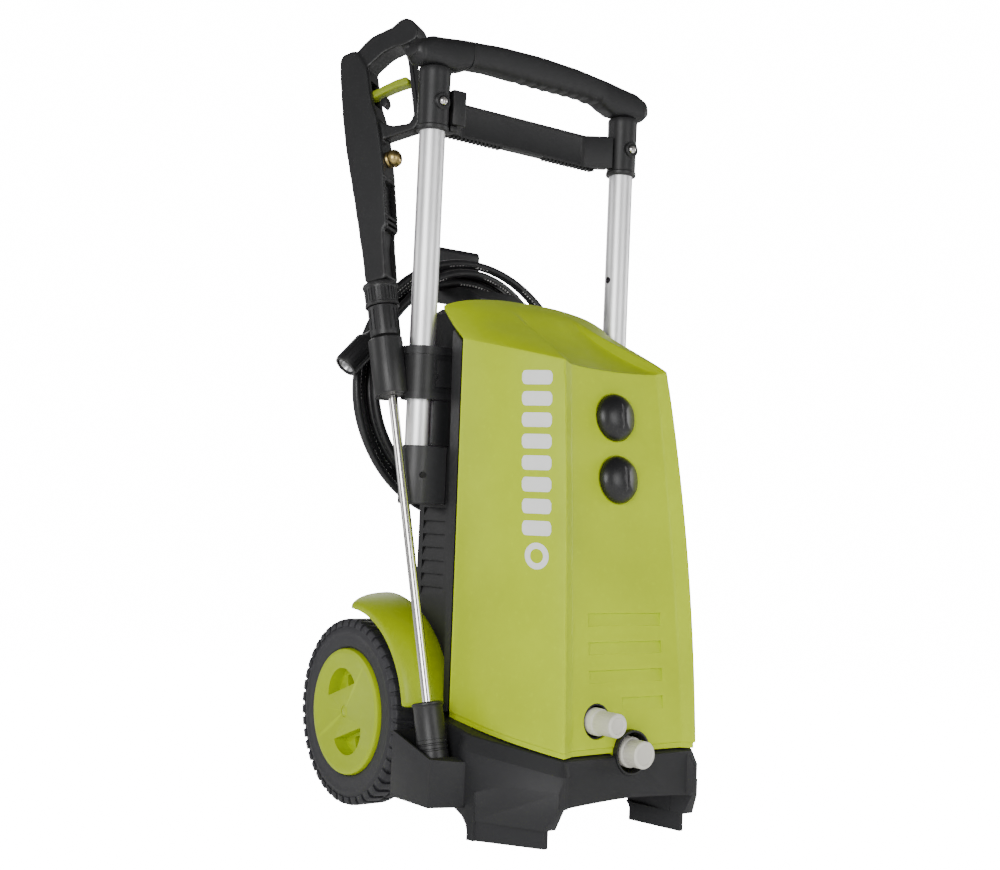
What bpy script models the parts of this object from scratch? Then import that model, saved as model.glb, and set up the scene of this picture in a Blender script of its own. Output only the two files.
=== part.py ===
"""Upright electric pressure washer on two wheels, with a telescoping handle.

Metres, +Z up. The front of the machine faces -Y and the ground is z = 0.
The gun and lance stand on the machine's own right hand side, at -X.
The origin lies on the ground under the middle of the machine's box.
"""
import math

import bmesh
import bpy
from mathutils import Matrix, Vector

# ---- driving dimensions -------------------------------------------------
GAP = 0.0003                 # play left between pieces that touch

# the layout is drawn with y = 0 at the joint between front and rear casing
MIDDLE = (-0.0102, 0.0377)    # middle of the whole machine in that layout

# telescoping handle
TUBE_X = 0.1447
TUBE_Y = 0.064
TUBE_R = 0.015
TUBE_WALL = 0.0016
TUBE_BOTTOM = 0.352
TUBE_TOP = 0.842
TUBE_HOLE_Z = 0.640
SLEEVE_R = 0.0175
SLEEVE_BOTTOM = 0.7737
SLEEVE_TOP = 0.8470
GRIP_CROWN_Z = 0.894
GRIP_UNDER_Z = 0.858
GRIP_DEPTH = 0.0332
SCREW_Z = 0.806

# wheels
AXLE_Y = 0.147
AXLE_Z = 0.1063
AXLE_R = 0.006
TYRE_R = 0.1063
TYRE_BORE_R = 0.0725
TYRE_OUTER_X = 0.172
TYRE_INNER_X = 0.124
HUB_R = 0.0722
HUB_FACE_X = 0.175
POCKET_R = 0.058
POCKET_CHORD = 0.0293
POCKET_TILT = math.radians(13)

# gun and lance, on one straight leaning axis
LANCE_FOOT = Vector((-0.1630, -0.0214, 0.0804))
LANCE_LEAN = math.radians(14.0)
LANCE_SIDE_LEAN = math.radians(1.65)
GUN_YAW = math.radians(30)
NOZZLE_R = 0.0172
NOZZLE_LENGTH = 0.0575
WAND_R = 0.0053
WAND_END = 0.400
LANCE_NECK_R = 0.0140
LANCE_NECK_END = 0.467
LANCE_GRIP_R = 0.0175
LANCE_GRIP_END = 0.505
COLLAR_R = 0.0205
GUN_START = 0.533
GUN_THICK = 0.032
GUARD_THICK = 0.018
TRIGGER_PIVOT = (-0.010, 0.7640)
LOCK_PIVOT = (-0.0340, 0.7580)

# casing
SEAM_X = 0.130
HOUSING_X = 0.117
HOUSING_BACK = 0.100
HOUSING_FOOT_Z = 0.1230
SHELL_WALL = 0.0025
FOOT_GAP = 0.0015            # shadow line between shell and base
PANEL_KNOB_Z = (0.451, 0.383)
KNOB_X = -0.002
KNOB_R = 0.0262

# base
POCKET_FLOOR_Z = 0.0663

# water fittings
OUTLET = (-0.043, 0.1285)    # x, z
INLET = (0.003, 0.0945)
OUTLET_CAP_END = -0.178
INLET_CAP_END = -0.1705

# hose, hung on the hook behind the casing
COIL_X = -0.003
COIL_Z = 0.4935
COIL_R = 0.165
COIL_BORE_R = 0.130
COIL_FRONT = 0.164
COIL_BACK = 0.204
HOSE_D = 0.0105

GREEN = (0.47, 0.57, 0.03)
BLACK = (0.030, 0.030, 0.032)
SOFT_BLACK = (0.018, 0.018, 0.018)
ALUMINIUM = (0.78, 0.78, 0.79)
CHROME = (0.85, 0.85, 0.86)
STEEL = (0.55, 0.55, 0.56)
BRASS = (0.72, 0.52, 0.22)
WHITE = (0.80, 0.80, 0.76)

for old in list(bpy.data.objects):
    bpy.data.objects.remove(old, do_unlink=True)

PARTS = bpy.data.collections.new("pressure_washer")
CUTTERS = bpy.data.collections.new("cutters")
bpy.context.scene.collection.children.link(PARTS)
bpy.context.scene.collection.children.link(CUTTERS)

# local x, y, z of an outline onto the axes of the machine
FLAT = Matrix.Identity(4)
SIDE = Matrix(((0, 0, 1, 0), (1, 0, 0, 0), (0, 1, 0, 0), (0, 0, 0, 1)))
FACE = Matrix(((1, 0, 0, 0), (0, 0, -1, 0), (0, 1, 0, 0), (0, 0, 0, 1)))
TO_X = Matrix.Rotation(math.pi / 2, 4, "Y")
TO_FRONT = Matrix.Rotation(math.pi / 2, 4, "X")
TO_REAR = Matrix.Rotation(-math.pi / 2, 4, "X")
LEAN = Matrix.Rotation(-LANCE_SIDE_LEAN, 4, "Y") @ Matrix.Rotation(-LANCE_LEAN, 4, "X")
GUN = LEAN @ Matrix.Rotation(GUN_YAW, 4, "Z")


# ---- helpers --------------------------------------------------------------
def finish(name, mesh, colour=None, rough=0.5, metal=0.0, origin=(0, 0, 0)):
    """Link a mesh as a named part with its own material, or as a cutter."""
    obj = bpy.data.objects.new(name, mesh)
    obj.location = origin
    if colour is None:
        CUTTERS.objects.link(obj)
        obj.hide_render = True
        obj.display_type = "WIRE"
        return obj
    PARTS.objects.link(obj)
    mat = bpy.data.materials.new(name)
    mat.use_nodes = True
    shader = mat.node_tree.nodes["Principled BSDF"]
    shader.inputs["Base Color"].default_value = (*colour, 1)
    shader.inputs["Roughness"].default_value = rough
    shader.inputs["Metallic"].default_value = metal
    mesh.materials.append(mat)
    return obj


def mesh_from(name, build):
    """A mesh filled by a function that works on a bmesh."""
    mesh = bpy.data.meshes.new(name)
    bm = bmesh.new()
    build(bm)
    bmesh.ops.recalc_face_normals(bm, faces=bm.faces)
    bm.to_mesh(mesh)
    bm.free()
    return mesh


def smooth(obj, angle=35):
    """Round pieces shade smooth, with their real edges kept sharp."""
    obj.data.shade_smooth()
    obj.data.set_sharp_from_angle(angle=math.radians(angle))
    return obj


def box(name, lo, hi, *look):
    """A box between two corners."""
    size = [b - a for a, b in zip(lo, hi)]
    middle = [(a + b) / 2 for a, b in zip(lo, hi)]
    matrix = Matrix.Translation(middle) @ Matrix.Diagonal((*size, 1))
    mesh = mesh_from(name, lambda bm: bmesh.ops.create_cube(bm, size=1, matrix=matrix))
    return finish(name, mesh, *look)


def rod(name, radius, low, high, turn, place, *look, sides=24):
    """A cylinder from low to high along its own axis, turned and placed."""
    matrix = Matrix.Translation((0, 0, (low + high) / 2))

    def build(bm):
        bmesh.ops.create_cone(bm, cap_ends=True, segments=sides, radius1=radius,
                              radius2=radius, depth=high - low, matrix=matrix)
        bmesh.ops.transform(bm, matrix=turn, verts=bm.verts)

    obj = finish(name, mesh_from(name, build), *look, origin=place)
    return smooth(obj)


def outline(name, loops, thickness, plane, offset, *look, origin=(0, 0, 0)):
    """A flat outline with real thickness, centred at offset across its plane."""
    curve = bpy.data.curves.new(name, "CURVE")
    curve.dimensions = "2D"
    curve.fill_mode = "BOTH"
    curve.extrude = thickness / 2
    for loop in loops:
        spline = curve.splines.new("POLY")
        spline.points.add(len(loop) - 1)
        spline.use_cyclic_u = True
        for point, (a, b) in zip(spline.points, loop):
            point.co = (a, b, 0, 1)
    guide = bpy.data.objects.new(name, curve)
    CUTTERS.objects.link(guide)
    bpy.context.view_layer.update()
    graph = bpy.context.evaluated_depsgraph_get()
    mesh = bpy.data.meshes.new_from_object(guide.evaluated_get(graph))
    bpy.data.objects.remove(guide, do_unlink=True)
    move = Matrix.Translation(-Vector(origin)) @ plane @ Matrix.Translation((0, 0, offset))
    bm = bmesh.new()
    bm.from_mesh(mesh)
    bmesh.ops.transform(bm, matrix=move, verts=bm.verts)
    bmesh.ops.remove_doubles(bm, verts=bm.verts, dist=0.00002)
    bmesh.ops.recalc_face_normals(bm, faces=bm.faces)
    bm.to_mesh(mesh)
    bm.free()
    mesh.name = name
    return finish(name, mesh, *look, origin=origin)


def turned(name, profile, turn, place, *look, steps=32, closed=False):
    """A turned piece: the profile (radius, height) runs down its outer side."""
    mesh = bpy.data.meshes.new(name)
    count = len(profile)
    edges = [(i, i + 1) for i in range(count - 1)]
    if closed:
        edges.append((count - 1, 0))
    mesh.from_pydata([(r, 0, h) for r, h in profile], edges, [])
    obj = finish(name, mesh, *look, origin=place)
    screw = obj.modifiers.new("turn", "SCREW")
    screw.axis = "Z"
    screw.steps = steps
    screw.render_steps = steps
    screw.use_merge_vertices = True
    screw.merge_threshold = 0.00005
    screw.use_smooth_shade = True
    obj.rotation_euler = turn.to_euler()
    return obj


def bevel(obj, width, segments=2, angle=30):
    """Round the edges that are sharper than an angle."""
    mod = obj.modifiers.new("edges", "BEVEL")
    mod.width = width
    mod.segments = segments
    mod.limit_method = "ANGLE"
    mod.angle_limit = math.radians(angle)
    return obj


def boolean(target, other, operation="DIFFERENCE"):
    """Cut another solid out of a part, or join it on."""
    mod = target.modifiers.new(other.name, "BOOLEAN")
    mod.operation = operation
    mod.solver = "EXACT"
    mod.object = other
    return target


def ring_profile(outer, inner, top, bottom, edge=0.001):
    """A tube's closed profile with small chamfers on its outer side."""
    return [(inner, top), (outer - edge, top), (outer, top - edge),
            (outer, bottom + edge), (outer - edge, bottom), (inner, bottom)]


def disc_profile(radius, top, bottom, edge=0.001):
    """A solid round piece's profile, closed on its axis."""
    return [(0, top), (radius - edge, top), (radius, top - edge),
            (radius, bottom + edge), (radius - edge, bottom), (0, bottom)]


def arc(cx, cy, radius, start, end, steps):
    """Points along an arc, angles in degrees."""
    angles = [math.radians(start + (end - start) * i / steps) for i in range(steps + 1)]
    return [(cx + radius * math.cos(a), cy + radius * math.sin(a)) for a in angles]


# ---- casing ---------------------------------------------------------------
def base_top(y):
    """Height of the line where the green shell stands on the base."""
    return 0.0924 + (y + 0.154) * 0.155


def shell_rows():
    """Half of the green shell as rows of points, from its foot to its roof.

    Columns run from the rear joint, round the side and over the raised ridge,
    to the middle of the hollow front panel.
    """
    foot = ((0.130, 0.000), (0.1265, -0.055), (0.1145, -0.108),
            (0.0943, -0.154), (0.058, -0.1485), (0.0, -0.1465))
    head = ((0.130, 0.005), (0.1200, -0.034), (0.1005, -0.0730),
            (0.0752, -0.1073), (0.0507, -0.1018), (0.0, -0.0998))
    head_z = (0.5310, 0.5208, 0.5107, 0.5016, 0.4990, 0.4980)
    swell = (0.0, 0.003, 0.005, 0.005, 0.003, 0.003)
    rows = []
    for step in range(6):
        t = step / 5
        row = []
        for (fx, fy), (hx, hy), hz, bulge in zip(foot, head, head_z, swell):
            out = 4 * t * (1 - t) * bulge
            y = fy + (hy - fy) * t - out * 0.8
            x = fx + (hx - fx) * t + (out * 0.6 if fx > 0 else 0.0)
            z = base_top(fy) + FOOT_GAP + (hz - base_top(fy)) * t
            row.append((x, y, z))
        rows.append(row)
    rows.append([(0.1270, 0.0220, 0.5450), (0.1140, -0.0035, 0.5430), (0.0915, -0.0300, 0.5405),
                 (0.0560, -0.0480, 0.5345), (0.0370, -0.0445, 0.5300), (0.0, -0.0430, 0.5290)])
    rows.append([(0.1235, 0.0410, 0.5610), (0.1060, 0.0270, 0.5660), (0.0800, 0.0140, 0.5680),
                 (0.0350, 0.0100, 0.5650), (0.0220, 0.0120, 0.5640), (0.0, 0.0130, 0.5640)])
    rows.append([(0.1200, 0.0600, 0.5770), (0.0980, 0.0600, 0.5870), (0.0720, 0.0600, 0.5940),
                 (0.0300, 0.0600, 0.5970), (0.0160, 0.0600, 0.5980), (0.0, 0.0600, 0.5980)])
    return rows


def front_shell():
    rows = shell_rows()

    def build(bm):
        grid = [[bm.verts.new(point) for point in row] for row in rows]
        for low, high in zip(grid, grid[1:]):
            for i in range(len(low) - 1):
                bm.faces.new((low[i], high[i], high[i + 1], low[i + 1]))

    shell = finish("front_shell", mesh_from("front_shell", build), GREEN, 0.35)
    if sum(p.normal.x for p in shell.data.polygons) < 0:
        shell.data.flip_normals()
    mirror = shell.modifiers.new("other half", "MIRROR")
    mirror.use_axis = (True, False, False)
    mirror.merge_threshold = 0.0001
    wall = shell.modifiers.new("wall", "SOLIDIFY")
    wall.thickness = SHELL_WALL
    wall.offset = -1
    wall.use_even_offset = True
    for z in PANEL_KNOB_Z:
        hole = rod("knob_hole", 0.0165, 0.06, 0.16, TO_FRONT, (KNOB_X, 0, z))
        boolean(shell, hole)
    for (x, z), radius in ((OUTLET, 0.0162), (INLET, 0.0190)):
        hole = rod("fitting_hole", radius, 0.10, 0.20, TO_FRONT, (x, 0, z))
        boolean(shell, hole)
    return smooth(shell, 20)


def mirrored(points):
    """A half outline at +x, completed at -x."""
    return points + [(-x, y) for x, y in reversed(points)]


def sloping_prism(name, plan, low, top, *look):
    """A prism on a plan outline whose top height depends on y."""

    def build(bm):
        below = [bm.verts.new((x, y, low)) for x, y in plan]
        above = [bm.verts.new((x, y, top(y))) for x, y in plan]
        bm.faces.new(below)
        bm.faces.new(above)
        for i in range(len(plan)):
            j = (i + 1) % len(plan)
            bm.faces.new((below[i], below[j], above[j], above[i]))

    return finish(name, mesh_from(name, build), *look)


def base_tray():
    """The tray that carries everything: deck, side pockets, feet, axle tunnel."""
    deck = [(0.099, -0.157), (0.1475, -0.058), (0.1475, 0.024), (0.1155, 0.030)]
    base = sloping_prism("base_tray", mirrored(deck), 0.036, base_top, BLACK, 0.6)
    tail = box("base_tail", (-0.1150, 0.010, 0.040), (0.1150, 0.172, HOUSING_FOOT_Z - GAP))
    boolean(base, tail, "UNION")
    for side in (1, -1):
        shelf = [(0.120 * side, -0.052), (0.1458 * side, -0.0580), (0.1850 * side, -0.0460),
                 (0.1850 * side, 0.0260), (0.120 * side, 0.0260)]
        step = sloping_prism("base_shelf", shelf, 0.0330, lambda y: 0.0830 + (y + 0.046) * 0.28)
        boolean(base, step, "UNION")
        foot = [(0.0940 * side, -0.1330), (0.0990 * side, -0.1330),
                (0.1460 * side, -0.0600), (0.0830 * side, -0.0620)]
        pad = sloping_prism("base_foot", foot, 0.0, lambda y: 0.060)
        boolean(base, pad, "UNION")
    for side in (1, -1):
        pocket = box("base_pocket", (0.1625 * side - 0.0200, -0.0435, POCKET_FLOOR_Z),
                     (0.1625 * side + 0.0200, 0.0225, 0.2000))
        boolean(base, pocket)
    hollow = box("base_hollow", (-0.090, -0.145, 0.020), (0.090, 0.128, 0.070))
    boolean(base, hollow)
    front = box("base_front_arch", (-0.080, -0.200, 0.010), (0.080, -0.120, 0.0465))
    boolean(base, front)
    tunnel = rod("axle_tunnel", AXLE_R + GAP, -0.2, 0.2, TO_X, (0, AXLE_Y, AXLE_Z), sides=20)
    boolean(base, tunnel)
    recess = rod("inlet_recess", 0.0190, 0.050, 0.20, TO_FRONT, (INLET[0], 0, INLET[1]))
    boolean(base, recess)
    return base


def rear_housing():
    """The black rear casing: an arched box, open towards the front shell."""
    crown = [(HOUSING_X, HOUSING_FOOT_Z), (HOUSING_X, 0.5660), (0.100, 0.5815), (0.060, 0.5920)]
    housing = outline("rear_housing", [mirrored(crown)], 0.0965, FACE, -0.05175, BLACK, 0.6)
    trim_side = [(0.0035, HOUSING_FOOT_Z), (0.0085, 0.5300), (0.0250, 0.5450), (0.0125, HOUSING_FOOT_Z)]
    trim = outline("housing_trim", [trim_side], 2 * SEAM_X - 0.001, SIDE, 0)
    boolean(housing, trim, "UNION")
    inside = [(HOUSING_X - 0.003, 0.1100), (HOUSING_X - 0.003, 0.5560), (0.098, 0.5700), (0.058, 0.5800)]
    cavity = outline("housing_cavity", [mirrored(inside)], 0.0970, FACE, -0.0485)
    boolean(housing, cavity)
    slope = [(-0.060, 0.4700), (0.0090, 0.5310), (0.0620, 0.5762), (0.0620, 0.7000), (-0.060, 0.7000)]
    lid = outline("roof_line", [slope], 0.4, SIDE, 0)
    boolean(housing, lid)
    for side in (1, -1):
        for i in range(6):
            z = 0.252 + 0.0165 * i
            slot = box("louvre", (0.105 * side - 0.015, 0.044, z),
                       (0.105 * side + 0.015, 0.086, z + 0.0065))
            boolean(housing, slot)
    filler = rod("filler_hole", 0.0175, -0.12, -0.08, TO_FRONT, (0, 0, 0.300))
    boolean(housing, filler)
    gland = rod("gland_hole", 0.0105, -0.12, -0.08, TO_FRONT, (0.085, 0, 0.160))
    boolean(housing, gland)
    return housing


def fender(side):
    """A domed strip that wraps over the front and top of one wheel."""
    name = "left_fender" if side < 0 else "right_fender"
    section = ((0.1720, 0.1195), (0.1690, 0.1225), (0.1600, 0.1280),
               (0.1450, 0.1315), (0.1300, 0.1328), (0.1177, 0.1330))

    def build(bm):
        rows = []
        for i in range(15):
            angle = math.radians(9 + 86 * i / 14)
            row = []
            for x, radius in section:
                taper = 1 - 0.10 * max(0.0, i - 9) / 5
                across = side * (x - (1 - taper) * 0.25)
                if x < 0.118:
                    across = side * x
                y = AXLE_Y - radius * math.cos(angle)
                z = AXLE_Z + radius * math.sin(angle)
                row.append(bm.verts.new((across, y, z)))
            rows.append(row)
        for low, high in zip(rows, rows[1:]):
            for i in range(len(low) - 1):
                bm.faces.new((low[i], low[i + 1], high[i + 1], high[i]))

    obj = finish(name, mesh_from(name, build), GREEN, 0.35)
    if sum(p.normal.z for p in obj.data.polygons) < 0:
        obj.data.flip_normals()
    wall = obj.modifiers.new("wall", "SOLIDIFY")
    wall.thickness = 0.0025
    wall.offset = -1
    return smooth(obj, 40)


# ---- wheels ---------------------------------------------------------------
def wheels():
    tyre = [(TYRE_BORE_R, 0.006), (0.080, 0.001), (0.094, 0.000), (0.1015, 0.004), (TYRE_R, 0.011),
            (TYRE_R, 0.037), (0.1015, 0.044), (0.094, 0.048), (0.080, 0.047), (TYRE_BORE_R, 0.042)]
    width = TYRE_OUTER_X - TYRE_INNER_X
    for side, word in ((-1, "left"), (1, "right")):
        turn = Matrix.Rotation(side * math.pi / 2, 4, "Y")
        centre = (0, AXLE_Y, AXLE_Z)
        ring = [(r, TYRE_OUTER_X - width + (width - h)) for r, h in tyre]
        turned(word + "_tyre", ring, turn, centre, SOFT_BLACK, 0.8, steps=40, closed=True)
        face = HUB_FACE_X
        disc = [(AXLE_R + GAP, face), (HUB_R - 0.004, face), (HUB_R - GAP, face - 0.0035),
                (HUB_R - GAP, 0.128), (HUB_R - 0.006, 0.128), (HUB_R - 0.006, 0.152),
                (0.016, 0.152), (0.014, 0.1235), (AXLE_R + GAP, 0.1235)]
        hub = turned(word + "_hub", disc, turn, centre, GREEN, 0.35, steps=40, closed=True)
        for flip in (1, -1):
            half = math.acos(POCKET_CHORD / POCKET_R)
            start, end = math.degrees(math.pi / 2 - half), math.degrees(math.pi / 2 + half)
            segment = arc(0, 0, POCKET_R, start, end, 12)
            tilt = POCKET_TILT if flip > 0 else POCKET_TILT + math.pi
            turned_seg = [(y * math.cos(tilt) + z * math.sin(tilt), z * math.cos(tilt) - y * math.sin(tilt))
                          for y, z in segment]
            loop = [(AXLE_Y + y, AXLE_Z + z) for y, z in turned_seg]
            pocket = outline("hub_pocket", [loop], 0.030, SIDE, side * (face + 0.001))
            boolean(hub, pocket)
    rod("wheel_axle", AXLE_R, -0.1700, 0.1700, TO_X, (0, AXLE_Y, AXLE_Z), STEEL, 0.35, 0.9, sides=20)


# ---- handle ---------------------------------------------------------------
def handle():
    for side, word in ((-1, "left"), (1, "right")):
        place = (side * TUBE_X, TUBE_Y, 0)
        pipe = ring_profile(TUBE_R, TUBE_R - TUBE_WALL, TUBE_TOP, TUBE_BOTTOM, 0.0004)
        leg = turned(word + "_tube", pipe, FLAT, place, ALUMINIUM, 0.3, 0.9, closed=True, steps=24)
        hole = rod("pin_hole", 0.0042, 0.004, 0.03, Matrix.Rotation(-side * math.pi / 2, 4, "Y"),
                   (side * TUBE_X, TUBE_Y, TUBE_HOLE_Z), sides=12)
        boolean(leg, hole)
        turned(word + "_sleeve",
               ring_profile(SLEEVE_R + 0.001, TUBE_R + GAP, SLEEVE_TOP - GAP, SLEEVE_BOTTOM, 0.0008),
               FLAT, place, BLACK, 0.6, closed=True, steps=24)
        head = [(0, 0.0050), (0.0030, 0.0046), (0.0052, 0.0024), (0.0056, 0), (0, 0)]
        seat = (side * TUBE_X, TUBE_Y - SLEEVE_R - 0.001 - GAP, SCREW_Z)
        turned(word + "_handle_screw", head, TO_FRONT, seat, CHROME, 0.2, 1.0, steps=16)
    top = [(0.1778, 0.8690), (0.1695, 0.8765), (0.1540, 0.8825), (0.1042, 0.8882),
           (0.0520, 0.8925), (0.0, GRIP_CROWN_Z)]
    under = [(0.0, GRIP_UNDER_Z), (0.0700, 0.8590), (0.0960, 0.8570), (0.1130, 0.8505),
             (0.1215, SLEEVE_TOP), (0.1675, SLEEVE_TOP), (0.1763, 0.8540)]
    half = under + top
    loop = [(x, z) for x, z in half] + [(-x, z) for x, z in reversed(half[1:-1])]
    grip = outline("handle_grip", [loop], GRIP_DEPTH, FACE, -TUBE_Y, SOFT_BLACK, 0.7)
    bevel(grip, 0.006, 2, 50)
    panel_loop = [(0.1235, 0.0560), (0.0955, 0.0780), (-0.0955, 0.0780), (-0.1235, 0.0560),
                  (-0.1235, 0.0720), (-0.1000, 0.0900), (0.1000, 0.0900), (0.1235, 0.0720)]
    outline("cross_panel", [panel_loop], 0.0400, FLAT, 0.8005, BLACK, 0.6)


def tube_mounts():
    """Clamp and socket that hold each handle tube on the casing's side."""
    inner = HOUSING_X + GAP
    lance_bore = rod("lance_bore", LANCE_NECK_R + 0.0005, 0.38, 0.60, LEAN, LANCE_FOOT)
    for side, word in ((-1, "left"), (1, "right")):
        kinds = (("clamp", 0.4655, 0.5255, 0.1665), ("socket", 0.3480, 0.4135, 0.1640))
        for kind, low, high, outer in kinds:
            xs = sorted((side * inner, side * outer))
            block = box(word + "_tube_" + kind, (xs[0], 0.0405, low), (xs[1], 0.0875, high), BLACK, 0.6)
            bevel(block, 0.006, 2)
            bore = rod("tube_bore", TUBE_R + GAP, low - 0.02, high + 0.02, FLAT,
                       (side * TUBE_X, TUBE_Y, 0))
            boolean(block, bore)
            if kind == "clamp" and side < 0:
                boolean(block, lance_bore)


# ---- gun and lance --------------------------------------------------------
def lance_piece(name, profile, *look, steps=24, closed=False):
    """A turned piece on the lance's axis, heights measured from its foot."""
    return turned(name, profile, LEAN, LANCE_FOOT, *look, steps=steps, closed=closed)


def gun_outline(name, loops, thickness, pivot, *look):
    """A flat piece of the gun, drawn as (back, along) from the lance's foot."""
    moved = [[(a - pivot[0], b - pivot[1]) for a, b in loop] for loop in loops]
    obj = outline(name, moved, thickness, SIDE, 0, *look)
    obj.location = LANCE_FOOT + GUN @ Vector((0, *pivot))
    obj.rotation_euler = GUN.to_euler()
    return obj


def gun():
    nozzle = [(0, NOZZLE_LENGTH), (0.0145, NOZZLE_LENGTH), (NOZZLE_R, NOZZLE_LENGTH - 0.002),
              (NOZZLE_R, 0.0180), (0.0070, 0.0180), (0.0070, 0.0040), (0, 0.0040)]
    lance_piece("nozzle_body", nozzle, BLACK, 0.5)
    lance_piece("nozzle_ring", ring_profile(NOZZLE_R - 0.0004, 0.0070 + GAP, 0.0180 - GAP, -0.0100, 0.0012),
                BLACK, 0.5, closed=True)
    pipe = disc_profile(WAND_R, WAND_END - GAP, NOZZLE_LENGTH + GAP, 0.0004)
    lance_piece("wand", pipe, CHROME, 0.12, 1.0)
    neck = [(0, LANCE_GRIP_END - GAP), (LANCE_GRIP_R - 0.001, LANCE_GRIP_END - GAP),
            (LANCE_GRIP_R, LANCE_GRIP_END - 0.0015), (LANCE_GRIP_R, LANCE_NECK_END + 0.002),
            (LANCE_NECK_R, LANCE_NECK_END), (LANCE_NECK_R, WAND_END), (0, WAND_END)]
    lance_piece("lance_grip", neck, BLACK, 0.55)
    lance_piece("lance_collar", disc_profile(COLLAR_R, GUN_START - GAP, LANCE_GRIP_END, 0.0015), BLACK, 0.5)
    back = [(0.0120, GUN_START), (0.0112, 0.5570), (0.0138, 0.6300), (0.0174, 0.7030), (0.0168, 0.7515),
            (0.0146, 0.7920), (0.0122, 0.8150), (0.0070, 0.8218), (-0.0105, 0.8222)]
    grip = [(-0.0214, 0.8276), (-0.0330, 0.8336), (-0.0615, 0.8366), (-0.0680, 0.8408), (-0.0779, 0.8430),
            (-0.0880, 0.8361), (-0.0930, 0.8240), (-0.0890, 0.8110)]
    under = [(-0.0720, 0.8085), (-0.0590, 0.8103), (-0.0451, 0.8080), (-0.0331, 0.8022), (-0.0212, 0.7958),
             (-0.0203, 0.7874), (-0.0225, 0.7680), (-0.0235, 0.7500), (-0.0270, 0.7330)]
    front = [(-0.0288, 0.7000), (-0.0283, 0.6640), (-0.0245, 0.5960), (-0.0195, 0.5930), (-0.0178, 0.5740),
             (-0.0160, GUN_START)]
    body = gun_outline("gun_body", [back + grip + under + front], GUN_THICK, (0, 0), BLACK, 0.6)
    bevel(body, 0.006, 2, 25)
    guard = [(-0.0100, 0.7030), (-0.0100, 0.7350), (-0.0240, 0.7345), (-0.0330, 0.7230), (-0.0430, 0.7165),
             (-0.0650, 0.7130), (-0.0715, 0.7210), (-0.0725, 0.7900), (-0.0660, 0.8180), (-0.0760, 0.8290),
             (-0.0785, 0.7950), (-0.0785, 0.7130), (-0.0710, 0.7040)]
    loop = gun_outline("guard_loop", [guard], GUARD_THICK, (0, 0))
    boolean(body, loop, "UNION")
    room = [(-0.0040, 0.7500), (-0.0040, 0.7800), (-0.0300, 0.7800), (-0.0300, 0.7500)]
    slot = gun_outline("trigger_slot", [room], 0.0166, (0, 0))
    boolean(body, slot)
    lever = [(-0.0060, 0.7600), (-0.0060, 0.7680), (-0.0250, 0.7700), (-0.0400, 0.7725), (-0.0550, 0.7740),
             (-0.0690, 0.7725), (-0.0695, 0.7635), (-0.0560, 0.7640), (-0.0400, 0.7620), (-0.0250, 0.7590)]
    gun_outline("trigger", [lever], 0.0150, TRIGGER_PIVOT, GREEN, 0.4)
    tab = [(-0.0300, 0.7560), (-0.0380, 0.7575), (-0.0390, 0.7480), (-0.0340, 0.7430), (-0.0300, 0.7480)]
    gun_outline("trigger_lock", [tab], 0.0100, LOCK_PIVOT, BLACK, 0.5)
    boss = [(0, 0.0160), (0.0060, 0.0160), (0.0092, 0.0135), (0.0108, 0.0080), (0.0100, 0.0030),
            (0.0100, 0), (0, 0)]
    inlet = turned("gun_inlet", boss, Matrix.Identity(4), (0, 0, 0), BRASS, 0.3, 1.0, steps=20)
    inlet.location = LANCE_FOOT + GUN @ Vector((0, -0.0288 - GAP, 0.6800))
    inlet.rotation_euler = (GUN @ TO_FRONT).to_euler()


def lance_holder():
    """A half ring on the outside of the left clamp that the lance stands in."""
    holder = lance_piece("lance_holder", ring_profile(0.0210, LANCE_NECK_R + 0.0005, 0.4655, 0.4000, 0.001),
                         BLACK, 0.6, closed=True)
    clamp = box("clamp_room", (-0.1665 - GAP, 0.0300, 0.4000), (-0.1000, 0.0875 + GAP, 0.6000))
    boolean(holder, clamp)
    return holder


# ---- front controls and water fittings ------------------------------------
def panel_y(z):
    """Depth of the hollow front panel's middle at a height."""
    t = (z - 0.094) / (0.498 - 0.094)
    return -0.1465 + 0.0467 * t - 4 * t * (1 - t) * 0.003 * 0.8


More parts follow.
